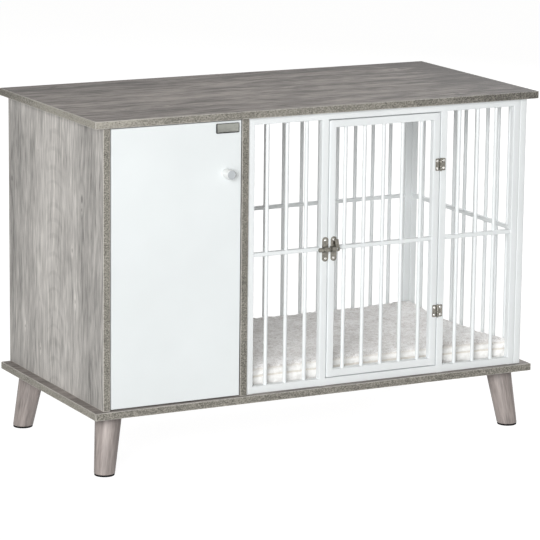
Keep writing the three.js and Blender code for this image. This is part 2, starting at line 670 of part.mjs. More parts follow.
// A prism along x with the section of an arch: square below the bolt's axis and round above it.
function arch(radius, length) {
  const shape = new THREE.Shape();
  shape.moveTo(-radius, 0);
  shape.lineTo(radius, 0);
  shape.lineTo(radius, BOLT_STANDOFF);
  shape.absarc(0, BOLT_STANDOFF, radius, 0, Math.PI);
  const toPlate = new THREE.Matrix4().makeBasis(
    new THREE.Vector3(0, 0, 1),
    new THREE.Vector3(0, -1, 0),
    new THREE.Vector3(1, 0, 0),
  );
  return extrude(shape, length, ARCH_STEPS).translate(0, 0, -length / 2).applyMatrix4(toPlate);
}

// A round-ended plate with a strap for the bolt: its back on y = 0, its strap centred on x = 0 and z = 0.
function strapPlate(plateShift) {
  const width = LATCH_PLATE_WIDTH;
  const height = LATCH_PLATE_HEIGHT;
  const outline = roundedRectangle(width, height, width / 2 - FIT);
  for (const side of [-1, 1]) {
    const level = height / 2 + (side * LATCH_SCREW_SPACING) / 2;
    outline.holes.push(circleHole(width / 2, level, LATCH_SCREW_HOLE));
  }
  const plate = facePlate(outline, LATCH_PLATE_THICKNESS, ROUND_END_STEPS)
    .translate(plateShift - width / 2, 0, -height / 2);
  const strap = arch(BOLT_RADIUS + LATCH_PLAY + STRAP_WALL, STRAP_WIDTH);
  // The bolt's passage stops at the plate, so that the plate stays whole behind it.
  const through = 2 * STRAP_WIDTH;
  const plateRoom = block(through, LATCH_PLATE_THICKNESS, height)
    .translate(-through / 2, -LATCH_PLATE_THICKNESS, -height / 2);
  const passage = cut(arch(BOLT_RADIUS + LATCH_PLAY, through), [plateRoom]);
  return cut(join([plate, strap]), [passage]);
}

// The bolt along x, its eye's centre at the origin and its nose to the left.
function latchBolt(length) {
  const back = BOLT_EYE_HOLE + BOLT_CHAMFER; // rod's end, left of the eye's centre
  const barrel = turned([
    [0, back],
    [BOLT_RADIUS, back],
    [BOLT_RADIUS, length - BOLT_CHAMFER],
    [BOLT_RADIUS - BOLT_CHAMFER, length],
    [0, length],
  ], BOLT_STEPS).rotateY(-Math.PI / 2);
  const eyeShape = new THREE.Shape();
  eyeShape.absarc(0, 0, BOLT_EYE_RADIUS, 0, 2 * Math.PI);
  const thumb = new THREE.Shape();
  const half = THUMB_WIDTH / 2;
  thumb.moveTo(-half, 0);
  thumb.lineTo(half, 0);
  thumb.lineTo(half - THUMB_LEAN, THUMB_HEIGHT);
  thumb.lineTo(-half - THUMB_LEAN, THUMB_HEIGHT);
  const eye = facePlate(eyeShape, BOLT_BLADE_THICKNESS, ARCH_STEPS);
  const blade = join([eye, facePlate(thumb, BOLT_BLADE_THICKNESS)]);
  blade.translate(0, BOLT_BLADE_THICKNESS / 2, 0);
  const through = 4 * BOLT_RADIUS;
  const hole = rod(BOLT_EYE_HOLE, through).rotateX(Math.PI / 2).translate(0, through / 2, 0);
  return cut(join([barrel, blade]), [hole]);
}

function addLatch() {
  const z = FLOOR_Z + LATCH_LEVEL;
  const faceY = CAGE_FRONT - FIT;
  const keeperX = FRONT_FRAME_LEFT + OPENING_LEFT - TUBE / 2;
  const strapX = CAGE_DOOR_LEFT + TUBE / 2;
  const eyeX = strapX + STRAP_WIDTH / 2 + LATCH_PLAY + BOLT_EYE_RADIUS;
  const noseX = keeperX + KEEPER_SHIFT - LATCH_PLATE_WIDTH / 2 - BOLT_NOSE;
  addPiece("latch_keeper", strapPlate(KEEPER_SHIFT), NICKEL, keeperX, faceY, z);
  addPiece("latch_plate", strapPlate(LATCH_PLATE_SHIFT), NICKEL, strapX, faceY, z);
  addPiece("latch_bolt", latchBolt(eyeX - noseX), NICKEL, eyeX, faceY - BOLT_STANDOFF, z);
}

// ---- Legs ----

const LEG_HEIGHT = LEG_ROOM - CAP_THICKNESS - 2 * FIT;

// A tapered leg hanging from z = 0, its foot moved sideways so that both ends stay level.
function splayedLeg(outX, outY) {
  const taper = (LEG_TOP_RADIUS - LEG_FOOT_RADIUS) / LEG_HEIGHT;
  const round = LEG_ROUNDING;
  const profile = [
    [0, -LEG_HEIGHT],
    [LEG_FOOT_RADIUS - round, -LEG_HEIGHT],
    [LEG_FOOT_RADIUS + taper * round, round - LEG_HEIGHT],
    [LEG_TOP_RADIUS, 0],
    [0, 0],
  ];
  const bolt = rod(LEG_BOLT_RADIUS + FIT, LEG_BOLT_IN_LEG + BOARD).translate(0, 0, -LEG_BOLT_IN_LEG);
  const lean = -LEG_SPLAY / LEG_HEIGHT;
  const splay = new THREE.Matrix4().makeShear(0, 0, 0, 0, outX * lean, outY * lean);
  return cut(turned(profile, LEG_STEPS).applyMatrix4(splay), [bolt]);
}

function footCap() {
  const radius = LEG_FOOT_RADIUS - CAP_STEP;
  const profile = [
    [0, 0],
    [radius - CAP_BEVEL, 0],
    [radius, CAP_BEVEL],
    [radius, CAP_THICKNESS],
    [0, CAP_THICKNESS],
  ];
  return turned(profile, LEG_STEPS);
}

function addLegs() {
  const boltLength = LEG_BOLT_IN_LEG + LEG_BOLT_IN_BOARD - 2 * FIT;
  for (const { corner, x, y, outX, outY } of LEG_TOPS) {
    const footX = x + outX * LEG_SPLAY;
    const footY = y + outY * LEG_SPLAY;
    const bolt = rod(LEG_BOLT_RADIUS, boltLength);
    addPiece(`leg_${corner}`, splayedLeg(outX, outY), GREY_WOOD, x, y, LEG_ROOM - FIT);
    addPiece(`foot_cap_${corner}`, footCap(), BLACK_RUBBER, footX, footY, 0);
    addPiece(`leg_bolt_${corner}`, bolt, STEEL, x, y, LEG_ROOM - LEG_BOLT_IN_LEG);
  }
}

// ---- Cushion ----

// Rings under the cushion, as shares of the way out from its middle.
const CUSHION_UNDERSIDE = [0.5, 0.97];
// Rings up its side, as [share of the bulge that the ring is drawn in, share of the side's height].
const CUSHION_SIDE_RINGS = [
  [1, 0.04],
  [0.3, 0.18],
  [0, 0.42],
  [0, 0.6],
  [0.35, 0.85],
  [1, 1],
];
// Rings over its top, as [share of the way out from the middle, share of the crown].
const CUSHION_TOP_RINGS = [
  [0.97, 0.45],
  [0.92, 0.7],
  [0.8, 0.88],
  [0.55, 0.97],
  [0.28, 1],
];

// Outline of the cushion in plan: round corners, with sides that draw in between them.
function cushionOutline(halfWidth, halfDepth) {
  const points = [];
  const corners = [[1, 1], [-1, 1], [-1, -1], [1, -1]];
  corners.forEach(([sx, sy], quarter) => {
    const start = (quarter * Math.PI) / 2;
    const centreX = sx * (halfWidth - CUSHION_CORNER);
    const centreY = sy * (halfDepth - CUSHION_CORNER);
    for (let step = 0; step <= CUSHION_CORNER_STEPS; step += 1) {
      const angle = start + (step / CUSHION_CORNER_STEPS) * (Math.PI / 2);
      const x = centreX + CUSHION_CORNER * Math.cos(angle);
      const y = centreY + CUSHION_CORNER * Math.sin(angle);
      points.push([x, y]);
    }
    const [nextX, nextY] = corners[(quarter + 1) % corners.length];
    const from = points[points.length - 1];
    const outward = [Math.cos(start + Math.PI / 2), Math.sin(start + Math.PI / 2)];
    const to = [
      nextX * (halfWidth - CUSHION_CORNER) + CUSHION_CORNER * outward[0],
      nextY * (halfDepth - CUSHION_CORNER) + CUSHION_CORNER * outward[1],
    ];
    for (let step = 1; step < CUSHION_SIDE_STEPS; step += 1) {
      const along = step / CUSHION_SIDE_STEPS;
      const drawn = CUSHION_WAIST * Math.sin(along * Math.PI) ** 2;
      const x = from[0] + (to[0] - from[0]) * along - drawn * outward[0];
      const y = from[1] + (to[1] - from[1]) * along - drawn * outward[1];
      points.push([x, y]);
    }
  });
  return points;
}

// A boxed cushion on z = 0: flat below, sides that are full at mid height, a seam and a crowned top.
function cushion(width, depth) {
  const outline = cushionOutline(width / 2, depth / 2);
  // Each ring is [inset from the outline, share of the way out from the middle, height].
  const seamZ = CUSHION_SIDE;
  const rings = [
    ...CUSHION_UNDERSIDE.map((share) => [CUSHION_BULGE, share, 0]),
    ...CUSHION_SIDE_RINGS.map(([inset, rise]) => [CUSHION_BULGE * inset, 1, seamZ * rise]),
    ...CUSHION_TOP_RINGS.map(([share, rise]) => [CUSHION_BULGE, share, seamZ + CUSHION_CROWN * rise]),
  ];
  const positions = [];
  for (const [inset, share, z] of rings) {
    const scaleX = (1 - (2 * inset) / width) * share;
    const scaleY = (1 - (2 * inset) / depth) * share;
    for (const [x, y] of outline) {
      positions.push(x * scaleX, y * scaleY, z);
    }
  }
  const count = outline.length;
  const bottomCentre = rings.length * count;
  const topCentre = bottomCentre + 1;
  positions.push(0, 0, 0);
  positions.push(0, 0, seamZ + CUSHION_CROWN);
  const index = [];
  for (let point = 0; point < count; point += 1) {
    const next = (point + 1) % count;
    index.push(bottomCentre, next, point);
    for (let ring = 0; ring < rings.length - 1; ring += 1) {
      const low = ring * count;
      const high = low + count;
      index.push(low + point, low + next, high + next);
      index.push(low + point, high + next, high + point);
    }
    const last = (rings.length - 1) * count;
    index.push(topCentre, last + point, last + next);
  }
  const geometry = new THREE.BufferGeometry();
  geometry.setAttribute("position", new THREE.Float32BufferAttribute(positions, 3));
  geometry.setIndex(index);
  return geometry;
}

function addCushion() {
  const left = DIVIDER_RIGHT + CUSHION_GAP;
  const right = CAGE_RIGHT - TUBE - CUSHION_GAP;
  const front = CAGE_FRONT + TUBE + CUSHION_GAP;
  const rear = CAGE_REAR - TUBE - CUSHION_GAP;
  const solid = cushion(right - left, rear - front);
  addPiece("cushion", solid, PALE_PLUSH, (left + right) / 2, (front + rear) / 2, FLOOR_Z + FIT);
}

// ---- The whole table ----

addBoards();
addUprights();
addCabinetInside();
addCabinetDoor();
addConcealedHinges();
addCage();
addButtHinges();
addLatch();
addLegs();
addCushion();

// The knob is the foremost piece and the boards' rear edges the rearmost.
const FRONT_REACH = FRONT_INSET - KNOB_LENGTH;
table.position.set(-TOP_WIDTH / 2, -(FRONT_REACH + TOP_DEPTH) / 2, 0);

export default table;
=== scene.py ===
"""Dresses the dog crate end table: laminate, paint, metals, barred frames, screws and a cushion."""

import json
import math
from typing import NamedTuple

import bmesh
import bpy
import numpy as np
from bpy.props import FloatProperty, FloatVectorProperty, IntProperty, PointerProperty
from mathutils import Matrix, Vector, noise


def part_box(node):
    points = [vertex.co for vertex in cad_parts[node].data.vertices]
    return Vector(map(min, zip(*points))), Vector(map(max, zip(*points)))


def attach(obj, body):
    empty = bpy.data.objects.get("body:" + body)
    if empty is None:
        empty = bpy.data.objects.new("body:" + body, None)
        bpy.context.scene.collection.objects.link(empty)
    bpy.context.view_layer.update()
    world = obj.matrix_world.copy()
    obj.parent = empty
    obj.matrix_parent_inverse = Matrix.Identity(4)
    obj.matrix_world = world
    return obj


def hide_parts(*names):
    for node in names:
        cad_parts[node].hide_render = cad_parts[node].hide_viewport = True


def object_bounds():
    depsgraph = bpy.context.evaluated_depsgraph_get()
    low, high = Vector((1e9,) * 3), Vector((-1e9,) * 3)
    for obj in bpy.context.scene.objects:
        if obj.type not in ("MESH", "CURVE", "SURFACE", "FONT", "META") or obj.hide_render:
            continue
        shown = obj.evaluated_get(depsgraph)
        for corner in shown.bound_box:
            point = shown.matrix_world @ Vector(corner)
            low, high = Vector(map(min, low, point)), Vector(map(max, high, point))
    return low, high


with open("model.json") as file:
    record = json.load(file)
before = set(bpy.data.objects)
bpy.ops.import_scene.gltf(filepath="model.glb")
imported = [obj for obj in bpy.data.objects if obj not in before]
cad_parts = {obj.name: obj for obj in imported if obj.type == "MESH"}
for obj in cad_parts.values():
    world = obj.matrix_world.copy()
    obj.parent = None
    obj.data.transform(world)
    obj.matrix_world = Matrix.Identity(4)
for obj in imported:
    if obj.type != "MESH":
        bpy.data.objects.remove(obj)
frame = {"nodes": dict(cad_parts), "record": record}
CAD_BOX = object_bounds()

bl_info = {
    "name": "Dog Crate End Table",
    "version": (1, 0, 0),
    "blender": (4, 5, 0),
    "location": "View3D > Sidebar > Crate Table",
    "description": "Finishes, barred frames, fastenings, cushion and studio for a dog crate end table",
    "category": "Object",
}

MM = 0.001
WHITE = (1.0, 1.0, 1.0)
X_AXIS, Y_AXIS, Z_AXIS = range(3)
TUBE, MID_RAIL, BAR, STILE = range(4)
LEVELS = ("lower", "upper")
CORNERS = ("front_left", "front_right", "rear_left", "rear_right")
# The lamps point at the middle of the table, at this height in metres
AIM_HEIGHT = 0.36
LAMP_AIM = Vector(((CAD_BOX[0][0] + CAD_BOX[1][0]) / 2, (CAD_BOX[0][1] + CAD_BOX[1][1]) / 2, AIM_HEIGHT))


def length(name, description, millimetres):
    """A size that the user can change, shown in metres."""
    default = millimetres * MM
    return FloatProperty(name=name, description=description, default=default, unit="LENGTH", precision=4)


def point(name, description, x, y, z):
    """A point in metres that the user can change."""
    place = (x, y, z)
    return FloatVectorProperty(
        name=name, description=description, default=place, subtype="TRANSLATION", size=3
    )


def colour(name, description, red, green, blue):
    """A colour that the user can change, given by its screen values from 0 to 255."""
    default = (red / 255, green / 255, blue / 255)
    return FloatVectorProperty(
        name=name, description=description, default=default, subtype="COLOR_GAMMA", size=3, min=0.0, max=1.0
    )


def number(name, description, default, subtype="NONE"):
    """A plain number that the user can change."""
    return FloatProperty(name=name, description=description, default=default, subtype=subtype)


# ---- What a user would change ----


class LaminateSettings(bpy.types.PropertyGroup):
    """Printed wood-look laminate of the boards, and the wood of the legs."""

    # Painted shade and light: the boards carry one laminate, whose middle tone is set darker for the top,
    # bottom and shelf and lighter for the uprights, for how the lamps fall on them.
    top_tone: colour("Top", "Middle tone of the table top's print", 144, 138, 134)
    lit_upright_tone: colour("Uprights", "Middle tone of the upright boards' print", 198, 195, 191)
    band_tone: colour("Edge band", "Middle tone of the banded edges", 138, 135, 127)
    # Painted highlight: a light line along every banded edge, for light caught on the rounded arris.
    arris_highlight_tone: colour("Arris", "Worn light line along every banded edge", 196, 193, 187)
    leg_tone: colour("Legs", "Middle tone of the stained legs", 155, 146, 142)
    arris_width: length("Arris width", "How far the light line reaches on both faces", 1.6)
    # Painted shadow: the next three settings darken the top of each leg where it stands in the bottom board's
    # shadow.
    shadow_from: length("Stain from", "Height where the stain of the legs begins to darken", 88)
    shadow_to: length("Stain to", "Height where the stain of the legs is darkest", 119)
    shadow_strength: number("Stain strength", "How much of the darkest stain shows at the top", 0.45)


class PaintSettings(bpy.types.PropertyGroup):
    """White board, white powder coat, metals and rubber."""

    door_tone: colour("Door", "White foil of the cabinet door", 234, 239, 240)
    knob_tone: colour("Knob", "White lacquer of the knob", 228, 230, 229)
    knob_face_tone: colour("Knob face", "Greyer disc in the knob's face", 186, 191, 194)
    frame_tone: colour("Cage", "Powder coat of the barred frames", 238, 242, 243)
    nickel_tone: colour("Nickel", "Satin nickel of the hinges and the latch", 136, 133, 125)
    zinc_tone: colour("Zinc", "Zinc plate of the fittings inside and of the screws", 205, 204, 200)
    rubber_tone: colour("Rubber", "Black rubber of the foot caps", 15, 15, 16)


class CageSettings(bpy.types.PropertyGroup):
    """Sections and spacing of the welded frames."""

    tube: length("Tube", "Side of the square tube", 15)
    tube_corner: length("Tube corner", "Outer radius of the tube's edges", 1.5)
    door_gap: length("Door gap", "Gap all round the cage door", 2)
    bar_radius: length("Bar radius", "Radius of the round bars", 4)
    bar_pitch: length("Bar pitch", "Spacing of the bars", 44)
    bar_sides: IntProperty(name="Bar sides", description="Faces round a bar", default=24, min=8)
    right_shift: length("Right shift", "How far the right bay's bars stand left of its middle", 3.5)
    rail_height: length("Mid rail height", "Height of the flat mid rail", 8)
    rail_depth: length("Mid rail depth", "Depth of the flat mid rail", 12)
    rail_corner: length("Mid rail corner", "Radius of the mid rail's edges", 1.5)
    rail_level: length("Mid rail level", "Middle of the mid rails above the floor", 419)


class CushionSettings(bpy.types.PropertyGroup):
    """The plush mat on the kennel's floor."""

    top_tone: colour("Top", "Pale grey plush of the top", 252, 246, 242)
    side_tone: colour("Sides", "Cream plush of the boxed sides", 252, 250, 247)
    seam_tone: colour("Seams", "Shade in the bottom of a seam", 206, 196, 180)
    voxel: length("Voxel", "Size of the remeshed faces", 5.5)
    start_inset: length("Start inset", "How much smaller the pad starts before it is filled", 1.5)
    growth: number("Growth", "Share by which the cover is cut larger than the pad", 0.03)
    held_height: length("Held height", "Up to here the board keeps the underside from moving", 16)
    pressure: number("Pressure", "Filling pressure of the cloth simulation", 4.0)
    most_move: length("Most move", "Farthest that filling may move a point", 7)
    stiffness: number("Stiffness", "Share of a move inwards that the filling takes back", 0.85)
    mid_seam: length("Mid seam", "Seam between the two bands of the side, above the floor board", 30)
    top_seam: length("Top seam", "Seam between the side and the top, above the floor board", 43)
    corner_pull: length("Corner pull", "How far the corners stand out where the seams meet", 9)
    corner_reach: length("Corner reach", "How far from its corner the mat is pulled out", 42)
    corner_lift: number("Corner lift", "Share of the corner pull that also goes upwards", 0.4)
    seam_depth: length("Seam depth", "How far the seams draw in", 3.2)
    seam_width: length("Seam width", "Half width of the drawn-in line", 3.4)
    pile_depth: length("Pile depth", "Unevenness of the plush", 1.5)


class HardwareSettings(bpy.types.PropertyGroup):
    """Screws and the plate on the cabinet door."""

    screw_radius: length("Screw radius", "Radius of a screw's head", 2.9)
    screw_height: length("Screw height", "Rise of a screw's head", 1.3)
    recess_width: length("Recess width", "Width of the cross recess's arms", 0.8)
    recess_depth: length("Recess depth", "Depth of the cross recess", 0.9)
    plate_width: length("Plate width", "Width of the door's bare plate", 50)
    plate_height: length("Plate height", "Height of the door's bare plate", 19.5)
    plate_thickness: length("Plate thickness", "Thickness of the door's bare plate", 2.6)
    plate_corner: length("Plate corner", "Corner radius of the door's bare plate", 2)
    plate_tone: colour("Plate tone", "Brushed face of the plate", 146, 147, 141)
    # Painted shade: the dark edge of the plate's face, widest at the left and below.
    plate_shade_edge_tone: colour("Plate edge", "Blackened edge of the plate", 48, 50, 50)
    plate_from_side: length("Plate from side", "From the door's free edge", 6)
    plate_from_top: length("Plate from top", "From the door's top edge", 4)


class StudioSettings(bpy.types.PropertyGroup):
    """Camera, lamps and floor."""

    camera_place: point("Camera place", "Where the camera stands", -2.8735, -5.5114, 1.6501)
    camera_azimuth: number("Azimuth", "Turn of the camera about the vertical", math.radians(-27.547), "ANGLE")
    camera_elevation: number("Elevation", "How far the camera looks down", math.radians(11.954), "ANGLE")
    camera_roll: number("Roll", "Tilt of the camera about its own axis", math.radians(0.6452), "ANGLE")
    focal_length: number("Focal length", "In millimetres on a 36 mm frame", 203.79)
    key_level: number("Key", "Light of the key lamp on a facing surface", 0.9)
    fill_level: number("Fill", "Light of the fill lamp on a facing surface", 0.03)
    back_level: number("Back", "Light of the back lamp on a facing surface", 0.7)
    key_place: point("Key place", "Where the key lamp hangs", -3.9, -4.9, 1.95)
    fill_place: point("Fill place", "Where the fill lamp stands", 0.5, -5.0, 0.9)
    back_place: point("Back place", "Where the back lamp hangs", 3.6, 2.0, 2.3)
    key_size: number("Key size", "Side of the key lamp in metres", 2.9)
    soft_size: number("Soft size", "Side of the two other lamps in metres", 2.4)
    sky_level: number("Sky", "Light that comes from all round", 0.14)
    sky_tone: colour("Sky tone", "Tint of the light that comes from all round", 255, 250, 242)
    floor_grey: number("Floor grey", "Share of the light that the floor gives back", 0.6)
    floor_glow: number("Floor glow", "Brightness of the floor's own glow, which only the camera sees", 1.53)
    glow_share: number("Glow share", "How much of the seen floor is glow", 0.62)


class CrateTableSettings(bpy.types.PropertyGroup):
    """All the settings of the table."""

    laminate: PointerProperty(type=LaminateSettings)
    paint: PointerProperty(type=PaintSettings)
    cage: PointerProperty(type=CageSettings)
    cushion: PointerProperty(type=CushionSettings)
    hardware: PointerProperty(type=HardwareSettings)
    studio: PointerProperty(type=StudioSettings)


def settings():
    """The scene's own settings."""
    return bpy.context.scene.crate_table


# ---- Materials as expressions ----


def linear(screen):
    """Turns a screen colour into the linear colour that a shader takes."""
    return tuple(part / 12.92 if part <= 0.04045 else ((part + 0.055) / 1.055) ** 2.4 for part in screen)


def shade(screen, factor):
    """A lighter or darker linear colour."""
    return tuple(min(1.0, part * factor) for part in linear(screen))


class Field:
    """A socket that takes part in Python expressions; numbers and other fields may stand beside it."""

    def __init__(self, finish, socket):
        self.finish = finish
        self.socket = socket

    def __add__(self, other):
        return self.finish.math("ADD", self, other)

    def __radd__(self, other):
        return self.finish.math("ADD", other, self)

    def __sub__(self, other):
        return self.finish.math("SUBTRACT", self, other)

    def __rsub__(self, other):
        return self.finish.math("SUBTRACT", other, self)

    def __mul__(self, other):
        return self.finish.math("MULTIPLY", self, other)

    def __rmul__(self, other):
        return self.finish.math("MULTIPLY", other, self)

    def __truediv__(self, other):
        return self.finish.math("DIVIDE", self, other)

    def __pow__(self, other):
        return self.finish.math("POWER", self, other)


class Finish:
    """The shader of one material or of the world, built from expressions."""

    def __init__(self, owner):
        self.owner = owner
        owner.use_nodes = True
        self.tree = owner.node_tree
        self.tree.nodes.clear()

    @classmethod
    def named(cls, name):
        """A new material's finish."""
        return cls(bpy.data.materials.new(name))

    def node(self, kind, options, values, output=0):
        """Adds a node: its options first, then the values or links of its sockets."""
        node = self.tree.nodes.new(kind)
        for option, value in options.items():
            if option == "stops":
                self.set_stops(node.color_ramp, value)
            else:
                setattr(node, option, value)
        sockets = {socket.identifier: socket for socket in node.inputs}
        for key, value in values.items():
            socket = sockets[key] if key in sockets else node.inputs[key]
            if isinstance(value, Field):
                self.tree.links.new(value.socket, socket)
            elif socket.type == "RGBA" and len(value) == 3:
                socket.default_value = (*value, 1.0)
            else:
                socket.default_value = value
        return Field(self, node.outputs[output]) if node.outputs else None

    @staticmethod
    def set_stops(ramp, stops):
        """Gives a colour ramp its stops, as (place, linear colour)."""
        while len(ramp.elements) < len(stops):
            ramp.elements.new(1.0)
        for element, (place, tone) in zip(ramp.elements, stops):
            element.position = place
            element.color = (*tone, 1.0)

    def math(self, operation, *terms):
        return self.node("ShaderNodeMath", {"operation": operation}, dict(enumerate(terms)))

    def least(self, first, *others):
        for other in others:
            first = self.math("MINIMUM", first, other)
        return first

    def most(self, first, *others):
        for other in others:
            first = self.math("MAXIMUM", first, other)
        return first

    def rise(self, value, low, high):
        """Goes smoothly from 0 at low to 1 at high."""
        options = {"interpolation_type": "SMOOTHSTEP"}
        return self.node("ShaderNodeMapRange", options, {"Value": value, "From Min": low, "From Max": high})

    def place(self):
        """Object coordinates, which are the table's own coordinates in metres."""
        return self.node("ShaderNodeTexCoord", {}, {}, "Object")

    def attribute(self, name):
        """A vector attribute of the piece."""
        return self.node("ShaderNodeAttribute", {"attribute_name": name}, {}, "Vector")

    def parts(self, vector):
        """The x, y and z of a vector."""
        split = self.node("ShaderNodeSeparateXYZ", {}, {0: vector})
        return [Field(self, socket) for socket in split.socket.node.outputs]

    def vector(self, x, y, z):
        return self.node("ShaderNodeCombineXYZ", {}, {0: x, 1: y, 2: z})

    def noise(self, vector, scale=1.0, detail=2.0, roughness=0.5):
        """Smooth noise about 0, mostly between -0.3 and 0.3."""
        values = {"Vector": vector, "Scale": scale, "Detail": detail, "Roughness": roughness}
        return self.node("ShaderNodeTexNoise", {}, values) - 0.5

    def mix(self, factor, first, second):
        """A colour between two others."""
        values = {"Factor_Float": factor, "A_Color": first, "B_Color": second}
        return self.node("ShaderNodeMix", {"data_type": "RGBA"}, values, 2)

    def ramp(self, factor, stops):
        return self.node("ShaderNodeValToRGB", {"stops": stops}, {0: factor})

    def bump(self, height, distance, strength=1.0):
        """A normal from a height that runs about from -1 to 1, distance being one unit of it in metres."""
        return self.node("ShaderNodeBump", {}, {"Height": height, "Distance": distance, "Strength": strength})

    def surface(self, values):
        """Ends the material in a Principled surface."""
        shader = self.node("ShaderNodeBsdfPrincipled", {}, values)
        self.node("ShaderNodeOutputMaterial", {}, {"Surface": shader})
        return self.owner


# ---- Finishes ----

# Feature sizes of the printed grain in metres, along the board and across it
FIBRE = (0.035, 0.0015)
STREAK = (0.13, 0.0065)
PATCH = (0.16, 0.036)
MOTTLE = (0.045, 0.013)
BROAD = (0.9, 0.085)
VEIN = (0.2, 0.017)
DRIFT = (0.3, 0.16)
GROWTH_PITCH = 0.009
GROWTH_WAVER = 0.014

# Specular level of the dull laminate and the rubber
MATT_GLOSS = 0.15


class ShadeAndPrintFade(NamedTuple):
    """Darkens the face and the edge band along an axis, as painted shade where the light falls off; a
    strength below 0 makes them lighter, as painted light. The side panel's narrow rear strip is a plank joint
    of the print instead.
    """

    axis: int
    start: float
    stop: float
    on_face: float
    on_band: float


class PrintAndShade(NamedTuple):
    """One board's print and painted shade: knots are (along, across, size) in metres, slope bends the growth
    lines, and the fades paint shade and light.
    """

    seed: float
    heartline: float
    slope: float
    knots: tuple = ()
    shade_and_print_fades: tuple = ()
    contrast: float = 1.0


PRINTS_AND_SHADES = {
    "top_panel": PrintAndShade(
        seed=3.0, heartline=-0.16, slope=0.05, contrast=1.7,
        knots=(
            (-0.279, -0.105, 0.004), (-0.382, -0.116, 0.003), (0.401, 0.163, 0.009),
            (0.368, 0.150, 0.007), (0.327, -0.194, 0.005), (0.05, 0.02, 0.003),
        ),
        # Painted shade darkens the top towards its right end and its rear; painted light lightens its left
        # band.
        shade_and_print_fades=(
            ShadeAndPrintFade(X_AXIS, 0.1, 0.52, 0.3, 0.3), ShadeAndPrintFade(X_AXIS, 0.34, 0.52, 0.32, 0.0),
            ShadeAndPrintFade(X_AXIS, -0.3, -0.5, 0.0, -0.34), ShadeAndPrintFade(Y_AXIS, -0.05, 0.26, 0.2, 0.5),
        ),
    ),
    "bottom_panel": PrintAndShade(
        seed=11.0, heartline=0.1, slope=0.05,
        # Painted light on the left end's band, painted shade on the band towards the rear.
        shade_and_print_fades=(ShadeAndPrintFade(X_AXIS, -0.497, -0.4995, 0.0, -0.26), ShadeAndPrintFade(Y_AXIS, -0.05, 0.26, 0.0, 0.15)),
    ),
    "cabinet_shelf": PrintAndShade(seed=23.0, heartline=0.02, slope=0.06),
    "left_side_panel": PrintAndShade(
        seed=41.0, heartline=0.01, slope=-0.25, contrast=0.85,
        knots=(
            (0.542, -0.123, 0.007), (0.520, -0.122, 0.003), (0.605, 0.094, 0.002), (0.525, 0.231, 0.005),
            (0.430, -0.075, 0.004), (0.329, -0.089, 0.004), (0.227, 0.165, 0.003), (0.196, 0.086, 0.003),
        ),
        # Painted shade darkens the side panel towards its front and its rear; the narrow strip near the rear
        # is a plank joint of the print.
        shade_and_print_fades=(
            ShadeAndPrintFade(Y_AXIS, -0.06, -0.16, 0.17, 0.0), ShadeAndPrintFade(Y_AXIS, 0.09, 0.15, 0.06, 0.0),
            ShadeAndPrintFade(Y_AXIS, 0.178, 0.186, 0.12, 0.0),
        ),
    ),
    "divider_panel": PrintAndShade(
        seed=57.0, heartline=-0.05, slope=-0.2,
        knots=((0.30, 0.06, 0.005), (0.55, -0.1, 0.004)),
        # Painted shade: the front band darker, and the faces just behind the front edge darkened as the door
        # gap's shade.
        shade_and_print_fades=(ShadeAndPrintFade(Y_AXIS, -0.2, -0.22, 0.0, 0.09), ShadeAndPrintFade(Y_AXIS, -0.2, -0.216, 0.42, 0.0)),
    ),
}


def streaked(f, along, across, seed, size, detail=2.0):
    """Noise drawn out along the grain to the feature size given."""
    return f.noise(f.vector(along / size[0], across / size[1], seed), detail=detail)


def knots(f, along, across, places):
    """Small knots at (along, across, size) in metres, each a dark heart, a pale ring and bent grain."""
    heart, ring, bend = 0.0, 0.0, 0.0
    for at_along, at_across, size in places:
        step_along = (along - at_along) / (2.2 * size)
        step_across = (across - at_across) / size
        apart = f.math("SQRT", step_along * step_along + step_across * step_across)
        heart = f.most(heart, 1.0 - f.rise(apart, 0.2, 0.75))
        ring = f.most(ring, 1.0 - f.rise(apart, 0.9, 2.4))
        bend = bend + (1.0 - f.rise(apart, 0.3, 3.5)) * f.math("SIGN", step_across) * size * 0.9
    return 0.55 * heart - 0.16 * ring, bend


def wood_tone(f, along, across, print_and_shade):
    """Tone of a flat-sawn board, about 0 to 1, with growth lines about its heartline, and its fibres."""
    seed = print_and_shade.seed
    knot, bend = knots(f, along, across, print_and_shade.knots) if print_and_shade.knots else (0.0, 0.0)
    drift = streaked(f, along, across, seed, DRIFT) * 0.03
    sideways = across + drift - bend
    fibre = streaked(f, along, sideways, seed + 1.0, FIBRE, 3.0)
    streak = streaked(f, along, sideways, seed + 2.0, STREAK, 3.0)
    patch = streaked(f, along, sideways, seed + 3.0, PATCH, 3.0)
    mottle = streaked(f, along, sideways, seed + 4.0, MOTTLE, 3.0)
    broad = streaked(f, along, sideways, seed + 5.0, BROAD)
    wandering = streaked(f, along, sideways, seed + 6.0, VEIN)
    vein = 1.0 - f.rise(f.math("ABSOLUTE", wandering), 0.008, 0.035)
    off_heart = sideways - print_and_shade.heartline
    rise = 0.06 + (along + 0.6) * print_and_shade.slope
    radius = f.math("SQRT", off_heart * off_heart + rise * rise)
    uneven = f.noise(f.vector(radius / GROWTH_WAVER, seed, 0.0)) * 1.3
    growth = f.math("SINE", (radius / GROWTH_PITCH + uneven) * math.tau)
    by_heart = 1.0 - f.rise(f.math("ABSOLUTE", off_heart), 0.022, 0.05)
    line = f.rise(growth, 0.45, 1.0) * by_heart * (0.7 + 2.0 * patch)
    tone = 0.52 + 0.85 * streak + 0.8 * patch + 0.4 * mottle + 0.5 * broad + 1.3 * fibre
    return tone - 0.11 * line - 0.12 * vein - knot, fibre


def wood_ramp(f, tone, middle):
    """The laminate's colours from a dark streak to a light one."""
    stops = [(0.0, shade(middle, 0.34)), (0.5, shade(middle, 1.0)), (1.0, shade(middle, 1.72))]
    return f.ramp(tone, stops)


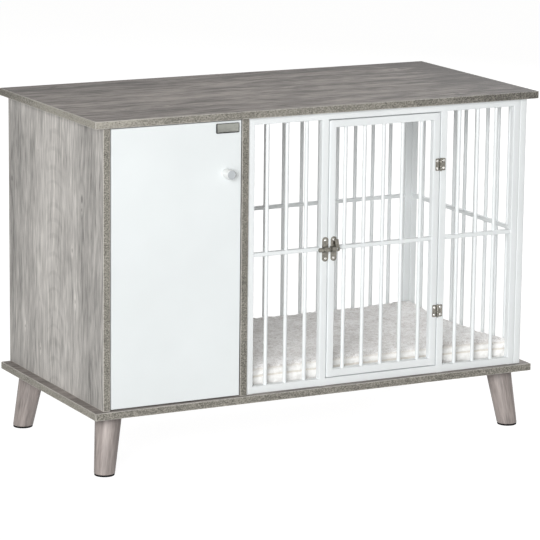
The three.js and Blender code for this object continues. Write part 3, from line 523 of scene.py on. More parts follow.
def board_finish(node, thin, grain, middle):
    """Laminate for one board: print and painted shade on its faces, bands on its edges and a painted
    highlight along the arris between them.
    """
    look = settings().laminate
    print_and_shade = PRINTS_AND_SHADES[node]
    f = Finish.named("grey_laminate_" + node)
    spot = f.parts(f.place())
    low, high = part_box(node)
    to_edge = [f.least(spot[axis] - low[axis], high[axis] - spot[axis]) for axis in range(3)]
    sides = [to_edge[axis] for axis in range(3) if axis != thin]
    rim = f.least(*sides)
    across = spot[X_AXIS + Y_AXIS + Z_AXIS - thin - grain]
    tone, fibre = wood_tone(f, spot[grain], across, print_and_shade)
    # The fades paint shade and light; only the side panel's narrow rear strip is print.
    face_shade_and_print, band_light_and_shade = 0.0, 0.0
    for fade in print_and_shade.shade_and_print_fades:
        near = f.rise(spot[fade.axis], fade.start, fade.stop)
        face_shade_and_print = face_shade_and_print + near * fade.on_face
        band_light_and_shade = band_light_and_shade + near * fade.on_band
    printed = wood_ramp(f, 0.5 + (tone - 0.5) * print_and_shade.contrast - face_shade_and_print, middle)
    fleck = f.noise(f.vector(spot[0] / 0.0032, spot[1] / 0.0032, spot[2] / 0.0021), detail=3.0, roughness=0.6)
    cloud = f.noise(f.vector(spot[0] / 0.05, spot[1] / 0.05, spot[2] / 0.02 + print_and_shade.seed))
    band = wood_ramp(f, 0.5 + 2.6 * fleck + 0.4 * cloud - band_light_and_shade, look.band_tone)
    banded = 1.0 - f.rise(rim, 0.2 * MM, 0.6 * MM)
    # Painted highlight along the arris, where the rounded edge catches light.
    off_arris = f.least(to_edge[thin] + rim, sides[0] + sides[1])
    arris_highlight = 1.0 - f.rise(off_arris, 0.45 * look.arris_width, look.arris_width)
    base = f.mix(banded, printed, band)
    base = f.mix(arris_highlight * (0.75 + cloud + 1.6 * fleck - band_light_and_shade), base, linear(look.arris_highlight_tone))
    rough = 0.58 + 0.35 * fibre
    values = {"Base Color": base, "Roughness": rough, "Normal": f.bump(fibre + fleck * 0.5, 0.12 * MM)}
    values["Specular IOR Level"] = MATT_GLOSS
    return f.surface(values)


def leg_finish():
    """Stained wood that follows each leg's own slant, through the grain attribute, with painted shadow
    darkening its top under the bottom board.
    """
    look = settings().laminate
    f = Finish.named("grey_leg_wood")
    x, y, z = f.parts(f.attribute("grain"))
    fine = f.noise(f.vector(x / 0.0018, y / 0.0018, z / 0.05), detail=3.0)
    streak = f.noise(f.vector(x / 0.009, y / 0.009, z / 0.11), detail=3.0)
    cloud = f.noise(f.vector(x / 0.03, y / 0.03, z / 0.06))
    middle = look.leg_tone
    base = wood_ramp(f, 0.5 + 0.9 * fine + 1.2 * streak + 0.5 * cloud, middle)
    pink = f.mix(f.rise(cloud, -0.15, 0.2), base, shade(middle, 1.05))
    base = f.mix(0.35, base, pink)
    # Painted shadow under the bottom board, darkest at the top of the leg.
    in_board_shadow = f.rise(f.parts(f.place())[2], look.shadow_from, look.shadow_to)
    base = f.mix(look.shadow_strength * in_board_shadow, base, shade(middle, 0.45))
    rough = 0.55 + 0.4 * fine
    return f.surface({"Base Color": base, "Roughness": rough, "Normal": f.bump(fine, 0.15 * MM)})


def white_board_finish(name, middle, rough):
    """Smooth white foil with a faint pebble and the slightest unevenness of tone."""
    f = Finish.named(name)
    spot = f.place()
    pebble = f.noise(spot, scale=900.0, detail=2.0)
    cloud = f.noise(spot, scale=7.0, detail=2.0)
    base = f.mix(f.rise(cloud, -0.35, 0.35), shade(middle, 0.97), shade(middle, 1.02))
    values = {"Base Color": base, "Roughness": rough + 0.12 * cloud, "Normal": f.bump(pebble, 0.03 * MM)}
    values["Coat Weight"] = 0.12
    values["Coat Roughness"] = 0.25
    return f.surface(values)


def knob_finish(face_level):
    """White lacquer with a greyer disc let into the face, which lies in front of the level given."""
    paint = settings().paint
    f = Finish.named("white_knob")
    spot = f.place()
    x, y, z = f.parts(spot)
    low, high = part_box("door_knob")
    across = x - (low[0] + high[0]) / 2
    up = z - (low[2] + high[2]) / 2
    apart = f.math("SQRT", across * across + up * up)
    rim = (high[0] - low[0]) / 2
    within = 1.0 - f.rise(apart, rim - 0.9 * MM, rim - 0.4 * MM)
    in_front = 1.0 - f.rise(y, face_level, face_level + MM)
    on_face = within * in_front
    cloud = f.noise(spot, scale=60.0)
    clouded = f.rise(cloud, -0.35, 0.35)
    lacquer = f.mix(clouded, shade(paint.knob_tone, 0.97), shade(paint.knob_tone, 1.03))
    base = f.mix(on_face, lacquer, linear(paint.knob_face_tone))
    values = {"Base Color": base, "Roughness": 0.32 + 0.2 * cloud, "Normal": f.bump(cloud, 0.02 * MM)}
    return f.surface(values)


def plate_finish(low, high):
    """Brushed plate in the box given: a pale face, lighter towards the top as painted light, inside a dark
    edge of painted shade, widest at the left and below.
    """
    tone = settings().hardware.plate_tone
    dark = settings().hardware.plate_shade_edge_tone
    f = Finish.named("brushed_plate")
    x, y, z = f.parts(f.place())
    brush = f.noise(f.vector(x / 0.012, y / 0.0006, z / 0.0005), detail=2.0)
    cloud = f.noise(f.vector(x / 0.006, y / 0.006, z / 0.004), detail=2.0)
    # Painted shade: the face darkens towards its edges, most at the left and below.
    to_edge = f.least(x - low[0], (high[0] - x) * 1.4, z - low[2], (high[2] - z) * 2.2)
    edge_shade = 1.0 - f.rise(to_edge + cloud * 0.002, 1.4 * MM, 3.0 * MM)
    # Painted light: the face grows lighter towards the top.
    upper = f.rise(z, low[2], high[2])
    face = f.mix(f.rise(brush + 0.4 * cloud, -0.3, 0.3), shade(tone, 0.78), shade(tone, 1.15))
    face = f.mix(upper, face, shade(tone, 1.2))
    base = f.mix(edge_shade * 0.92, face, linear(dark))
    values = {"Base Color": base, "Metallic": 1.0, "Roughness": 0.34 + 0.3 * brush}
    values["Normal"] = f.bump(brush, 0.03 * MM)
    return f.surface(values)


def powder_finish():
    """White powder coat with its orange peel."""
    f = Finish.named("white_powder_coat")
    spot = f.place()
    peel = f.noise(spot, scale=420.0, detail=1.0)
    cloud = f.noise(spot, scale=11.0, detail=3.0)
    middle = settings().paint.frame_tone
    base = f.mix(f.rise(cloud, -0.35, 0.35), shade(middle, 0.965), shade(middle, 1.02))
    return f.surface({"Base Color": base, "Roughness": 0.38 + 0.2 * cloud, "Normal": f.bump(peel, 0.06 * MM)})


def metal_finish(name, middle, rough):
    """Plated steel with fine scratches and a clouded plate."""
    f = Finish.named(name)
    x, y, z = f.parts(f.place())
    scratch = f.noise(f.vector(x / 0.0006, y / 0.0006, z / 0.009), detail=2.0)
    cloud = f.noise(f.vector(x / 0.006, y / 0.006, z / 0.006), detail=3.0)
    base = f.mix(f.rise(cloud, -0.3, 0.3), shade(middle, 0.6), shade(middle, 1.3))
    values = {"Base Color": base, "Metallic": 1.0, "Roughness": rough + 0.35 * cloud + 0.15 * scratch}
    values["Normal"] = f.bump(scratch, 0.02 * MM)
    return f.surface(values)


def rubber_finish():
    """Matt black rubber with a fine grain."""
    f = Finish.named("black_rubber")
    spot = f.place()
    grit = f.noise(spot, scale=1400.0, detail=2.0)
    cloud = f.noise(spot, scale=60.0, detail=2.0)
    middle = settings().paint.rubber_tone
    base = f.mix(f.rise(cloud, -0.3, 0.3), shade(middle, 0.8), shade(middle, 1.5))
    values = {"Base Color": base, "Roughness": 0.72 + 0.3 * cloud, "Normal": f.bump(grit, 0.05 * MM)}
    values["Specular IOR Level"] = MATT_GLOSS
    return f.surface(values)


def plush_finish(top_seam, mid_seam):
    """Curly plush: pale grey on the top, cream on the sides, darker in the seams."""
    look = settings().cushion
    f = Finish.named("plush_fabric")
    spot = f.place()
    x, y, z = f.parts(spot)
    curl = f.noise(spot, scale=330.0, detail=3.0, roughness=0.6)
    tuft = f.noise(spot, scale=90.0, detail=2.0)
    nap = f.noise(f.vector(x / 0.11, y / 0.07, z / 0.05))
    top_lit = f.rise(curl + 0.6 * tuft + 0.5 * nap, -0.3, 0.28)
    grey = f.mix(top_lit, shade(look.top_tone, 0.62), shade(look.top_tone, 1.2))
    side_lit = f.rise(curl + 0.4 * tuft, -0.35, 0.25)
    cream = f.mix(side_lit, shade(look.side_tone, 0.93), shade(look.side_tone, 1.06))
    wavy = z + tuft * 0.006
    on_top = f.rise(wavy, top_seam - 1.5 * MM, top_seam + 1.5 * MM)
    reach = look.seam_width
    in_seam = 0.0
    for level, strength in ((mid_seam, 0.55), (top_seam, 0.3)):
        off_seam = f.math("ABSOLUTE", z - level + tuft * 0.002)
        in_seam = f.most(in_seam, (1.0 - f.rise(off_seam, 0.2 * reach, 0.9 * reach)) * strength)
    base = f.mix(on_top, cream, grey)
    base = f.mix(in_seam, base, linear(look.seam_tone))
    values = {"Base Color": base, "Roughness": 0.95, "Normal": f.bump(curl + 0.5 * tuft, 1.1 * MM, 0.8)}
    values["Sheen Weight"] = 0.45
    values["Sheen Roughness"] = 0.5
    return f.surface(values)


# ---- Mesh tools ----


def linked(name, data):
    """A new object in the scene."""
    made = bpy.data.objects.new(name, data)
    bpy.context.scene.collection.objects.link(made)
    return made


def rows(items, field):
    """A three-part field of a mesh's items, as an array with one row for each."""
    values = np.empty(3 * len(items))
    items.foreach_get(field, values)
    return values.reshape(-1, 3)


def mesh_from(shape, name):
    """A new mesh from an editing mesh, which is freed."""
    mesh = bpy.data.meshes.new(name)
    shape.to_mesh(mesh)
    shape.free()
    return mesh


def new_piece(name, mesh, body, material=None):
    """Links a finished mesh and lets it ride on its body."""
    piece = linked(name, mesh)
    if material is not None:
        mesh.materials.clear()
        mesh.materials.append(material)
    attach(piece, body)
    return piece


def smooth_between(mesh, degrees):
    """Shades a mesh smooth, with sharp edges where its faces turn by more than the angle."""
    mesh.shade_smooth()
    mesh.set_sharp_from_angle(angle=math.radians(degrees))


def merged_copy(node):
    """A copy of a node's mesh with its loose triangles joined and its flat faces made whole."""
    shape = bmesh.new()
    shape.from_mesh(frame["nodes"][node].data)
    bmesh.ops.remove_doubles(shape, verts=shape.verts, dist=0.004 * MM)
    bmesh.ops.dissolve_limit(
        shape, angle_limit=math.radians(0.6), use_dissolve_boundaries=False,
        verts=shape.verts, edges=shape.edges, delimit={"NORMAL"},
    )
    return mesh_from(shape, node + "_fine")


def applied(source):
    """The plain mesh of an object with its modifiers; the object goes."""
    depsgraph = bpy.context.evaluated_depsgraph_get()
    depsgraph.update()
    mesh = bpy.data.meshes.new_from_object(source.evaluated_get(depsgraph), depsgraph=depsgraph)
    old = source.data
    bpy.data.objects.remove(source)
    if old.users == 0:
        bpy.data.meshes.remove(old)
    return mesh


def softened(mesh, radius, segments=2):
    """Rounds the sharp edges of a mesh."""
    holder = linked("softened", mesh)
    bevel = holder.modifiers.new("edges", "BEVEL")
    bevel.width = radius
    bevel.segments = segments
    bevel.limit_method = "ANGLE"
    bevel.angle_limit = math.radians(40)
    bevel.use_clamp_overlap = True
    return applied(holder)


def body_of(node):
    """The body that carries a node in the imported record."""
    for body, nodes in frame["record"]["behaviour"]["bodies"].items():
        if node in nodes:
            return body
    raise ValueError("no body carries " + node)


def middle_of(node):
    """The middle of a node's box."""
    low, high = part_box(node)
    return [(start + stop) / 2 for start, stop in zip(low, high)]


def refine(node, material, soften=0.0, smooth=40):
    """Stands a smooth-shaded copy, with soft edges if asked, in the place of a faceted node."""
    mesh = merged_copy(node)
    if soften:
        mesh = softened(mesh, soften)
    smooth_between(mesh, smooth)
    piece = new_piece(node + "_shell", mesh, body_of(node), material)
    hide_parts(node)
    return piece


def dress(node, material):
    """Gives a node that keeps its own shape a finish."""
    mesh = frame["nodes"][node].data
    mesh.materials.clear()
    mesh.materials.append(material)


def turned_mesh(name, profile, steps):
    """Spins a profile of (radius, height) about the z axis into a closed mesh."""
    shape = bmesh.new()
    rings = []
    for radius, height in profile:
        if radius == 0.0:
            rings.append([shape.verts.new((0.0, 0.0, height))])
            continue
        angles = [math.tau * step / steps for step in range(steps)]
        places = [(radius * math.cos(angle), radius * math.sin(angle), height) for angle in angles]
        rings.append([shape.verts.new(place) for place in places])
    for low, high in zip(rings, rings[1:]):
        for step in range(steps):
            after = step + 1
            around = ((low, step), (low, after), (high, after), (high, step))
            corners = [ring[at % len(ring)] for ring, at in around]
            shape.faces.new(list(dict.fromkeys(corners)))
    bmesh.ops.recalc_face_normals(shape, faces=shape.faces)
    return mesh_from(shape, name)


def quarter(radius, height, size, start, end, steps=6):
    """Points of an arc in a turned profile, from one angle to another in degrees."""
    angles = [math.radians(start + (end - start) * step / steps) for step in range(steps + 1)]
    return [(radius + size * math.cos(a), height + size * math.sin(a)) for a in angles]


# ---- Geometry Nodes ----


class Tree:
    """A geometry node tree with named inputs, built like a material."""

    def __init__(self, name, inputs):
        self.tree = bpy.data.node_groups.new(name, "GeometryNodeTree")
        self.tree.is_modifier = True
        sockets = self.tree.interface
        sockets.new_socket("Geometry", in_out="INPUT", socket_type="NodeSocketGeometry")
        for label, kind in inputs.items():
            sockets.new_socket(label, in_out="INPUT", socket_type=kind)
        sockets.new_socket("Geometry", in_out="OUTPUT", socket_type="NodeSocketGeometry")
        self.entry = self.tree.nodes.new("NodeGroupInput")

    def given(self, label):
        return self.entry.outputs[label]

    def node(self, kind, options, values, output=0):
        """Adds a node: its options first, then the values or links of its sockets."""
        node = self.tree.nodes.new(kind)
        for option, value in options.items():
            setattr(node, option, value)
        sockets = {socket.identifier: socket for socket in node.inputs}
        for key, value in values.items():
            socket = sockets[key] if key in sockets else node.inputs[key]
            for part in value if isinstance(value, list) else [value]:
                if isinstance(part, bpy.types.NodeSocket):
                    self.tree.links.new(part, socket)
                else:
                    socket.default_value = part
        return node.outputs[output]

    def math(self, operation, *terms):
        return self.node("ShaderNodeMath", {"operation": operation}, dict(enumerate(terms)))

    def vector(self, x, y, z):
        return self.node("ShaderNodeCombineXYZ", {}, {0: x, 1: y, 2: z})

    def close(self, geometry):
        """Realizes what is instanced, sets the material and ends the tree."""
        real = self.node("GeometryNodeRealizeInstances", {}, {0: geometry})
        values = {"Geometry": real, "Material": self.given("Material")}
        dressed = self.node("GeometryNodeSetMaterial", {}, values)
        out = self.tree.nodes.new("NodeGroupOutput")
        self.tree.links.new(dressed, out.inputs[0])
        return self.tree


def grown(tree, guide, values):
    """Runs a tree on a guide mesh and returns the plain mesh that it makes."""
    holder = linked("guide", guide)
    modifier = holder.modifiers.new("grown", "NODES")
    modifier.node_group = tree
    for item in tree.interface.items_tree:
        if item.in_out == "INPUT" and item.name in values:
            modifier[item.identifier] = values[item.name]
    return applied(holder)


FLOAT_SOCKET = "NodeSocketFloat"
FRAME_SIZES = ("Tube", "Tube Corner", "Rail Height", "Rail Depth", "Rail Corner", "Bar Radius")
SCREW_SIZES = ("Radius", "Height", "Recess Width", "Recess Depth")


def barred_frame_tree():
    """Rails, stiles, flat mid rails and round bars along a guide of straight edges, welded into one."""
    inputs = {size: FLOAT_SOCKET for size in FRAME_SIZES}
    t = Tree("Barred frame", inputs | {"Bar Sides": "NodeSocketInt", "Material": "NodeSocketMaterial"})
    kind = t.node("GeometryNodeInputNamedAttribute", {"data_type": "INT"}, {"Name": "kind"})

    def section(width, height, corner):
        outline = t.node("GeometryNodeCurvePrimitiveQuadrilateral", {}, {"Width": width, "Height": height})
        options = {"mode": "POLY"}
        return t.node("GeometryNodeFilletCurve", options, {"Curve": outline, "Radius": corner, "Count": 4})

    def swept(wanted, profile):
        options = {"data_type": "INT", "operation": "EQUAL"}
        same = t.node("FunctionNodeCompare", options, {"A_INT": kind, "B_INT": wanted})
        values = {"Geometry": t.given("Geometry"), "Selection": same}
        chosen = t.node("GeometryNodeSeparateGeometry", {"domain": "EDGE"}, values)
        path = t.node("GeometryNodeMeshToCurve", {}, {"Mesh": chosen})
        values = {"Curve": path, "Profile Curve": profile, "Fill Caps": True}
        return t.node("GeometryNodeCurveToMesh", {}, values)

    square = section(t.given("Tube"), t.given("Tube"), t.given("Tube Corner"))
    flat = section(t.given("Rail Depth"), t.given("Rail Height"), t.given("Rail Corner"))
    values = {"Resolution": t.given("Bar Sides"), "Radius": t.given("Bar Radius")}
    circle = t.node("GeometryNodeCurvePrimitiveCircle", {}, values)
    pieces = [swept(TUBE, square), swept(STILE, square), swept(MID_RAIL, flat), swept(BAR, circle)]
    options = {"operation": "UNION", "solver": "MANIFOLD"}
    return t.close(t.node("GeometryNodeMeshBoolean", options, {"Mesh 2": pieces}))


def guide_mesh(name, runs):
    """Straight edges from one point to another, each with its kind."""
    points = [end for _, start, stop in runs for end in (start, stop)]
    edges = [(2 * index, 2 * index + 1) for index in range(len(runs))]
    mesh = bpy.data.meshes.new(name)
    mesh.from_pydata(points, edges, [])
    kinds = mesh.attributes.new("kind", "INT", "EDGE")
    kinds.data.foreach_set("value", [kind for kind, _, _ in runs])
    return mesh


# Keeps rounding from dropping a bar where the bay is a whole number of pitches wide
ROUNDING = 1e-6


def frame_runs(low, high, bays):
    """Centre lines of one welded frame standing in the box from low to high, in (across, z)."""
    cage = settings().cage
    half = cage.tube / 2
    left, right = low[0] + half, high[0] - half
    bottom, top = low[1] + half, high[1] - half
    runs = [(TUBE, (left, bottom), (right, bottom)), (TUBE, (left, top), (right, top))]
    stiles = {left, right}
    for start, end, barred, shift in bays:
        stiles.update((start - half, end + half))
        if not barred:
            continue
        runs.append((MID_RAIL, (start - half, cage.rail_level), (end + half, cage.rail_level)))
        count = int((end - start + ROUNDING) / cage.bar_pitch)
        first = (start + end - (count - 1) * cage.bar_pitch) / 2 - shift
        for index in range(count):
            at = first + index * cage.bar_pitch
            runs.append((BAR, (at, bottom), (at, top)))
    ends = sorted({round(at, 6) for at in stiles})
    runs.extend((STILE, (at, low[1]), (at, high[1])) for at in ends)
    return runs


# Length of a recess's arm, end to end, in radii of the head
RECESS_REACH = 1.25


def screw_tree():
    """A domed screw head with a cross recess on every point, facing the way the point says."""
    t = Tree("Screw heads", {size: FLOAT_SOCKET for size in SCREW_SIZES} | {"Material": "NodeSocketMaterial"})
    radius, height = t.given("Radius"), t.given("Height")
    ball = t.node("GeometryNodeMeshUVSphere", {}, {"Segments": 28, "Rings": 14, "Radius": 1.0})
    flat = t.node("GeometryNodeTransform", {}, {"Geometry": ball, "Scale": t.vector(radius, radius, height)})
    arm = t.math("MULTIPLY", radius, RECESS_REACH)
    deep = t.math("MULTIPLY", t.given("Recess Depth"), 2.0)
    width = t.given("Recess Width")
    crosses = []
    for size in (t.vector(arm, width, deep), t.vector(width, arm, deep)):
        bar = t.node("GeometryNodeMeshCube", {}, {"Size": size})
        lifted = t.vector(0.0, 0.0, height)
        crosses.append(t.node("GeometryNodeTransform", {}, {"Geometry": bar, "Translation": lifted}))
    options = {"operation": "DIFFERENCE", "solver": "MANIFOLD"}
    head = t.node("GeometryNodeMeshBoolean", options, {"Mesh 1": flat, "Mesh 2": crosses})
    facing = t.node("GeometryNodeInputNamedAttribute", {"data_type": "FLOAT_VECTOR"}, {"Name": "facing"})
    turn = t.node("FunctionNodeAlignRotationToVector", {"axis": "Z"}, {"Vector": facing})
    chance = {"Min_001": 0.0, "Max_001": math.pi, "Seed": 7}
    spin = t.node("FunctionNodeRandomValue", {"data_type": "FLOAT"}, chance, 1)
    turn_by = t.node("FunctionNodeEulerToRotation", {}, {0: t.vector(0.0, 0.0, spin)})
    values = {"Rotation": turn, "Rotate By": turn_by}
    turned = t.node("FunctionNodeRotateRotation", {"rotation_space": "LOCAL"}, values)
    points = t.node("GeometryNodeMeshToPoints", {}, {"Mesh": t.given("Geometry")})
    placed = {"Points": points, "Instance": head, "Rotation": turned}
    return t.close(t.node("GeometryNodeInstanceOnPoints", {}, placed))


# ---- Operators ----


class TableOperator:
    """What the table's operators share."""

    bl_options = {"REGISTER", "UNDO"}


# Width of the camera's frame in millimetres
FRAME_WIDTH = 36.0
# How far the camera sees and how far the floor reaches from the origin, in metres
FAR_CLIP = 60.0
FLOOR_REACH = 14.0
# How far the floor lies under the feet
FLOOR_DROP = 0.2 * MM


class SetStudio(TableOperator, bpy.types.Operator):
    """Place the camera, the lamps, the pale floor and the white surroundings"""

    bl_idname = "crate_table.set_studio"
    bl_label = "Set Studio"

    def execute(self, context):
        studio = settings().studio
        scene = context.scene
        scene.view_settings.view_transform = "Standard"
        self.place_camera(scene, studio)
        self.hang_lamp("key_lamp", studio.key_place, studio.key_size, studio.key_level)
        self.hang_lamp("fill_lamp", studio.fill_place, studio.soft_size, studio.fill_level)
        self.hang_lamp("back_lamp", studio.back_place, studio.soft_size, studio.back_level)
        self.light_surroundings(scene, studio)
        self.lay_floor(studio)
        return {"FINISHED"}

    @staticmethod
    def place_camera(scene, studio):
        azimuth, elevation, roll = studio.camera_azimuth, studio.camera_elevation, studio.camera_roll
        level = math.cos(elevation)
        back = Vector((math.sin(azimuth) * level, -math.cos(azimuth) * level, math.sin(elevation)))
        right = Vector((math.cos(azimuth), math.sin(azimuth), 0.0))
        up = back.cross(right)
        side = right * math.cos(roll) + up * math.sin(roll)
        head = up * math.cos(roll) - right * math.sin(roll)
        camera = linked("camera", bpy.data.cameras.new("camera"))
        camera.data.lens = studio.focal_length
        camera.data.sensor_width = FRAME_WIDTH
        camera.data.clip_end = FAR_CLIP
        turn = Matrix((side, head, back)).transposed().to_4x4()
        camera.matrix_world = Matrix.Translation(Vector(studio.camera_place)) @ turn
        scene.camera = camera

    @staticmethod
    def hang_lamp(name, place, size, level):
        """Hangs a square lamp whose light on a facing surface at the table is the level asked for."""
        lamp = bpy.data.lights.new(name, "AREA")
        lamp.size = size
        ray = LAMP_AIM - Vector(place)
        lamp.energy = level * math.pi ** 2 * ray.length_squared
        holder = linked(name, lamp)
        holder.location = place
        holder.rotation_euler = ray.to_track_quat("-Z", "Y").to_euler()

    @staticmethod
    def seen_directly(f):
        """1 for rays from the camera, a reflection or glass, and 0 for the light itself."""
        path = f.node("ShaderNodeLightPath", {}, {}, "Is Camera Ray")
        outputs = path.socket.node.outputs
        return f.most(path, Field(f, outputs["Is Glossy Ray"]), Field(f, outputs["Is Transmission Ray"]))

    def light_surroundings(self, scene, studio):
        world = bpy.data.worlds.new("studio")
        scene.world = world
        f = Finish(world)
        sky = {"Color": linear(studio.sky_tone), "Strength": studio.sky_level}
        light = f.node("ShaderNodeBackground", {}, sky)
        backdrop = f.node("ShaderNodeBackground", {}, {"Color": WHITE, "Strength": 1.0})
        mixed = f.node("ShaderNodeMixShader", {}, {0: self.seen_directly(f), 1: light, 2: backdrop})
        f.node("ShaderNodeOutputWorld", {}, {"Surface": mixed})

    def lay_floor(self, studio):
        """A pale floor that looks white and keeps the table's shadow."""
        mesh = bpy.data.meshes.new("floor")
        signs = ((-1, -1), (1, -1), (1, 1), (-1, 1))
        corners = [(across * FLOOR_REACH, along * FLOOR_REACH, -FLOOR_DROP) for across, along in signs]
        mesh.from_pydata(corners, [], [(0, 1, 2, 3)])
        f = Finish.named("pale_floor")
        paint = f.node("ShaderNodeBsdfDiffuse", {}, {"Color": (studio.floor_grey,) * 3})
        glow = f.node("ShaderNodeEmission", {}, {"Color": WHITE, "Strength": studio.floor_glow})
        share = self.seen_directly(f) * studio.glow_share
        mixed = f.node("ShaderNodeMixShader", {}, {0: share, 1: paint, 2: glow})
        f.node("ShaderNodeOutputMaterial", {}, {"Surface": mixed})
        mesh.materials.append(f.owner)
        floor = linked("floor", mesh)


class FaceBoards(TableOperator, bpy.types.Operator):
    """Give every board its printed laminate with painted shade, banded edges and painted highlights on the
    arrises
    """

    bl_idname = "crate_table.face_boards"
    bl_label = "Face Boards"

    def execute(self, context):
        look = settings().laminate
        # Painted shade: the horizontal boards take the darker top tone, the uprights the lighter one, for how
        # the lamps fall on each.
        for node in ("top_panel", "bottom_panel", "cabinet_shelf"):
            dress(node, board_finish(node, Z_AXIS, X_AXIS, look.top_tone))
        for node in ("left_side_panel", "divider_panel"):
            dress(node, board_finish(node, X_AXIS, Z_AXIS, look.lit_upright_tone))
        return {"FINISHED"}


class PaintCabinet(TableOperator, bpy.types.Operator):
    """Finish the white door and back panel, and turn the knob with its dished face"""

    bl_idname = "crate_table.paint_cabinet"
    bl_label = "Paint Cabinet"

    def execute(self, context):
        paint = settings().paint
        dress("cabinet_door", white_board_finish("white_board", paint.door_tone, 0.42))
        dress("cabinet_back_panel", white_board_finish("white_back_board", paint.door_tone, 0.55))
        low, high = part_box("door_knob")
        radius = (high[0] - low[0]) / 2
        reach = high[1] - low[1]
        foot = 0.4 * MM
        rim = 1.6 * MM
        lip, lip_drop = 2.4 * MM, 0.1 * MM
        disc, dish = 2.7 * MM, 0.5 * MM
        lacquer_depth = 1.5 * MM
        profile = [(0.0, 0.0), (radius - foot, 0.0), (radius, foot)]
        profile += quarter(radius - rim, reach - rim, rim, 0, 90)
        profile += [(radius - lip, reach - lip_drop), (radius - disc, reach - dish), (0.0, reach - dish)]
        mesh = turned_mesh("door_knob_turned", profile, 72)
        middle = ((low[0] + high[0]) / 2, high[1], (low[2] + high[2]) / 2)
        mesh.transform(Matrix.Translation(middle) @ Matrix.Rotation(math.pi / 2, 4, "X"))
        smooth_between(mesh, 30)
        finish = knob_finish(low[1] + lacquer_depth)
        knob = new_piece("turned_knob", mesh, body_of("door_knob"), finish)
        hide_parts("door_knob")
        return {"FINISHED"}


class TurnLegs(TableOperator, bpy.types.Operator):
    """Smooth the splayed legs, run their grain along the slant and cap the feet with rubber"""

    bl_idname = "crate_table.turn_legs"
    bl_label = "Turn Legs"

    def execute(self, context):
        wood = leg_finish()
        rubber = rubber_finish()
        for corner in CORNERS:
            leg = refine("leg_" + corner, wood, soften=0.6 * MM)
            self.lay_grain(leg, middle_of("foot_cap_" + corner), middle_of("leg_bolt_" + corner))
            refine("foot_cap_" + corner, rubber, soften=0.4 * MM)
        return {"FINISHED"}

    @staticmethod
    def lay_grain(leg, foot, head):
        """Stores each point's place in the leg before it was splayed, with a stretch of grain of its own."""
        low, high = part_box(leg.name.removesuffix("_shell"))
        points = rows(leg.data.vertices, "co")
        down = (high[2] - points[:, 2]) / (high[2] - low[2])
        for axis in (0, 1):
            points[:, axis] -= head[axis] + (foot[axis] - head[axis]) * down
        own_stretch = foot[0] + 2 * foot[1]
        points[:, 2] += own_stretch
        grain = leg.data.attributes.new("grain", "FLOAT_VECTOR", "POINT")
        grain.data.foreach_set("vector", points.ravel())


class WeldCage(TableOperator, bpy.types.Operator):
    """Grow the four barred frames from their centre lines and coat them"""

    bl_idname = "crate_table.weld_cage"
    bl_label = "Weld Cage"

    def execute(self, context):
        cage = settings().cage
        self.tree = barred_frame_tree()
        self.coat = powder_finish()
        tube = cage.tube
        front_low, front_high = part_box("cage_front_frame")
        door_low, door_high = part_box("cage_door")
        opening_left = door_low[0] - cage.door_gap
        opening_right = door_high[0] + cage.door_gap
        front_bays = [
            (front_low[0] + tube, opening_left - tube, True, 0.0),
            (opening_left, opening_right, False, 0.0),
            (opening_right + tube, front_high[0] - tube, True, cage.right_shift),
        ]
        self.weld("cage_front_frame", X_AXIS, front_bays)
        for node, axis in (("cage_back_frame", X_AXIS), ("cage_door", X_AXIS), ("cage_side_frame", Y_AXIS)):
            low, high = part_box(node)
            self.weld(node, axis, [(low[axis] + tube, high[axis] - tube, True, 0.0)])
        return {"FINISHED"}

    def weld(self, node, axis, bays):
        """Makes one frame that runs along the axis and stands in the place of its node."""
        cage = settings().cage
        low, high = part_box(node)
        middle = middle_of(node)[1 - axis]

        def spot(place):
            return (place[0], middle, place[1]) if axis == X_AXIS else (middle, place[0], place[1])

        flat = frame_runs((low[axis], low[2]), (high[axis], high[2]), bays)
        runs = [(kind, spot(start), spot(stop)) for kind, start, stop in flat]
        rail = (cage.rail_height, cage.rail_depth, cage.rail_corner)
        sizes = (cage.tube, cage.tube_corner, *rail, cage.bar_radius)
        values = dict(zip(FRAME_SIZES, sizes)) | {"Bar Sides": cage.bar_sides, "Material": self.coat}
        mesh = grown(self.tree, guide_mesh(node + "_lines", runs), values)
        smooth_between(mesh, 35)
        piece = new_piece(node + "_welded", mesh, body_of(node))
        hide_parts(node)


NICKEL_NODES = [f"{level}_hinge_{part}" for level in LEVELS for part in ("frame_leaf", "door_leaf", "pin")]
NICKEL_NODES += ["latch_keeper", "latch_plate", "latch_bolt"]
ZINC_NODES = [f"{level}_hinge_{part}" for level in LEVELS for part in ("cup", "plate", "arm")]
ZINC_NODES += [f"{kind}_{corner}" for kind in ("shelf_pin", "leg_bolt") for corner in CORNERS]


class PolishHardware(TableOperator, bpy.types.Operator):
    """Soften and plate the hinges, the latch, the shelf pins and the bolts"""

    bl_idname = "crate_table.polish_hardware"
    bl_label = "Polish Hardware"

    def execute(self, context):
        paint = settings().paint
        nickel = metal_finish("satin_nickel", paint.nickel_tone, 0.34)
        zinc = metal_finish("zinc_plate", paint.zinc_tone, 0.3)
        for node in NICKEL_NODES:
            refine(node, nickel, soften=0.22 * MM)
        for node in ZINC_NODES:
            refine(node, zinc, soften=0.2 * MM)
        return {"FINISHED"}


# Steel sheet of the hinges and the latch, and how far their screws stand from an edge
SHEET = 1.2 * MM
LEAF_HOLE_INSET = 4.3 * MM
LATCH_HOLE_INSET = 6.75 * MM
# How far two screws of one piece stand above and below its middle
LEAF_HOLES = 7.75 * MM
CUP_HOLES = 24 * MM
PLATE_HOLES = 16 * MM
LATCH_HOLES = 18.5 * MM


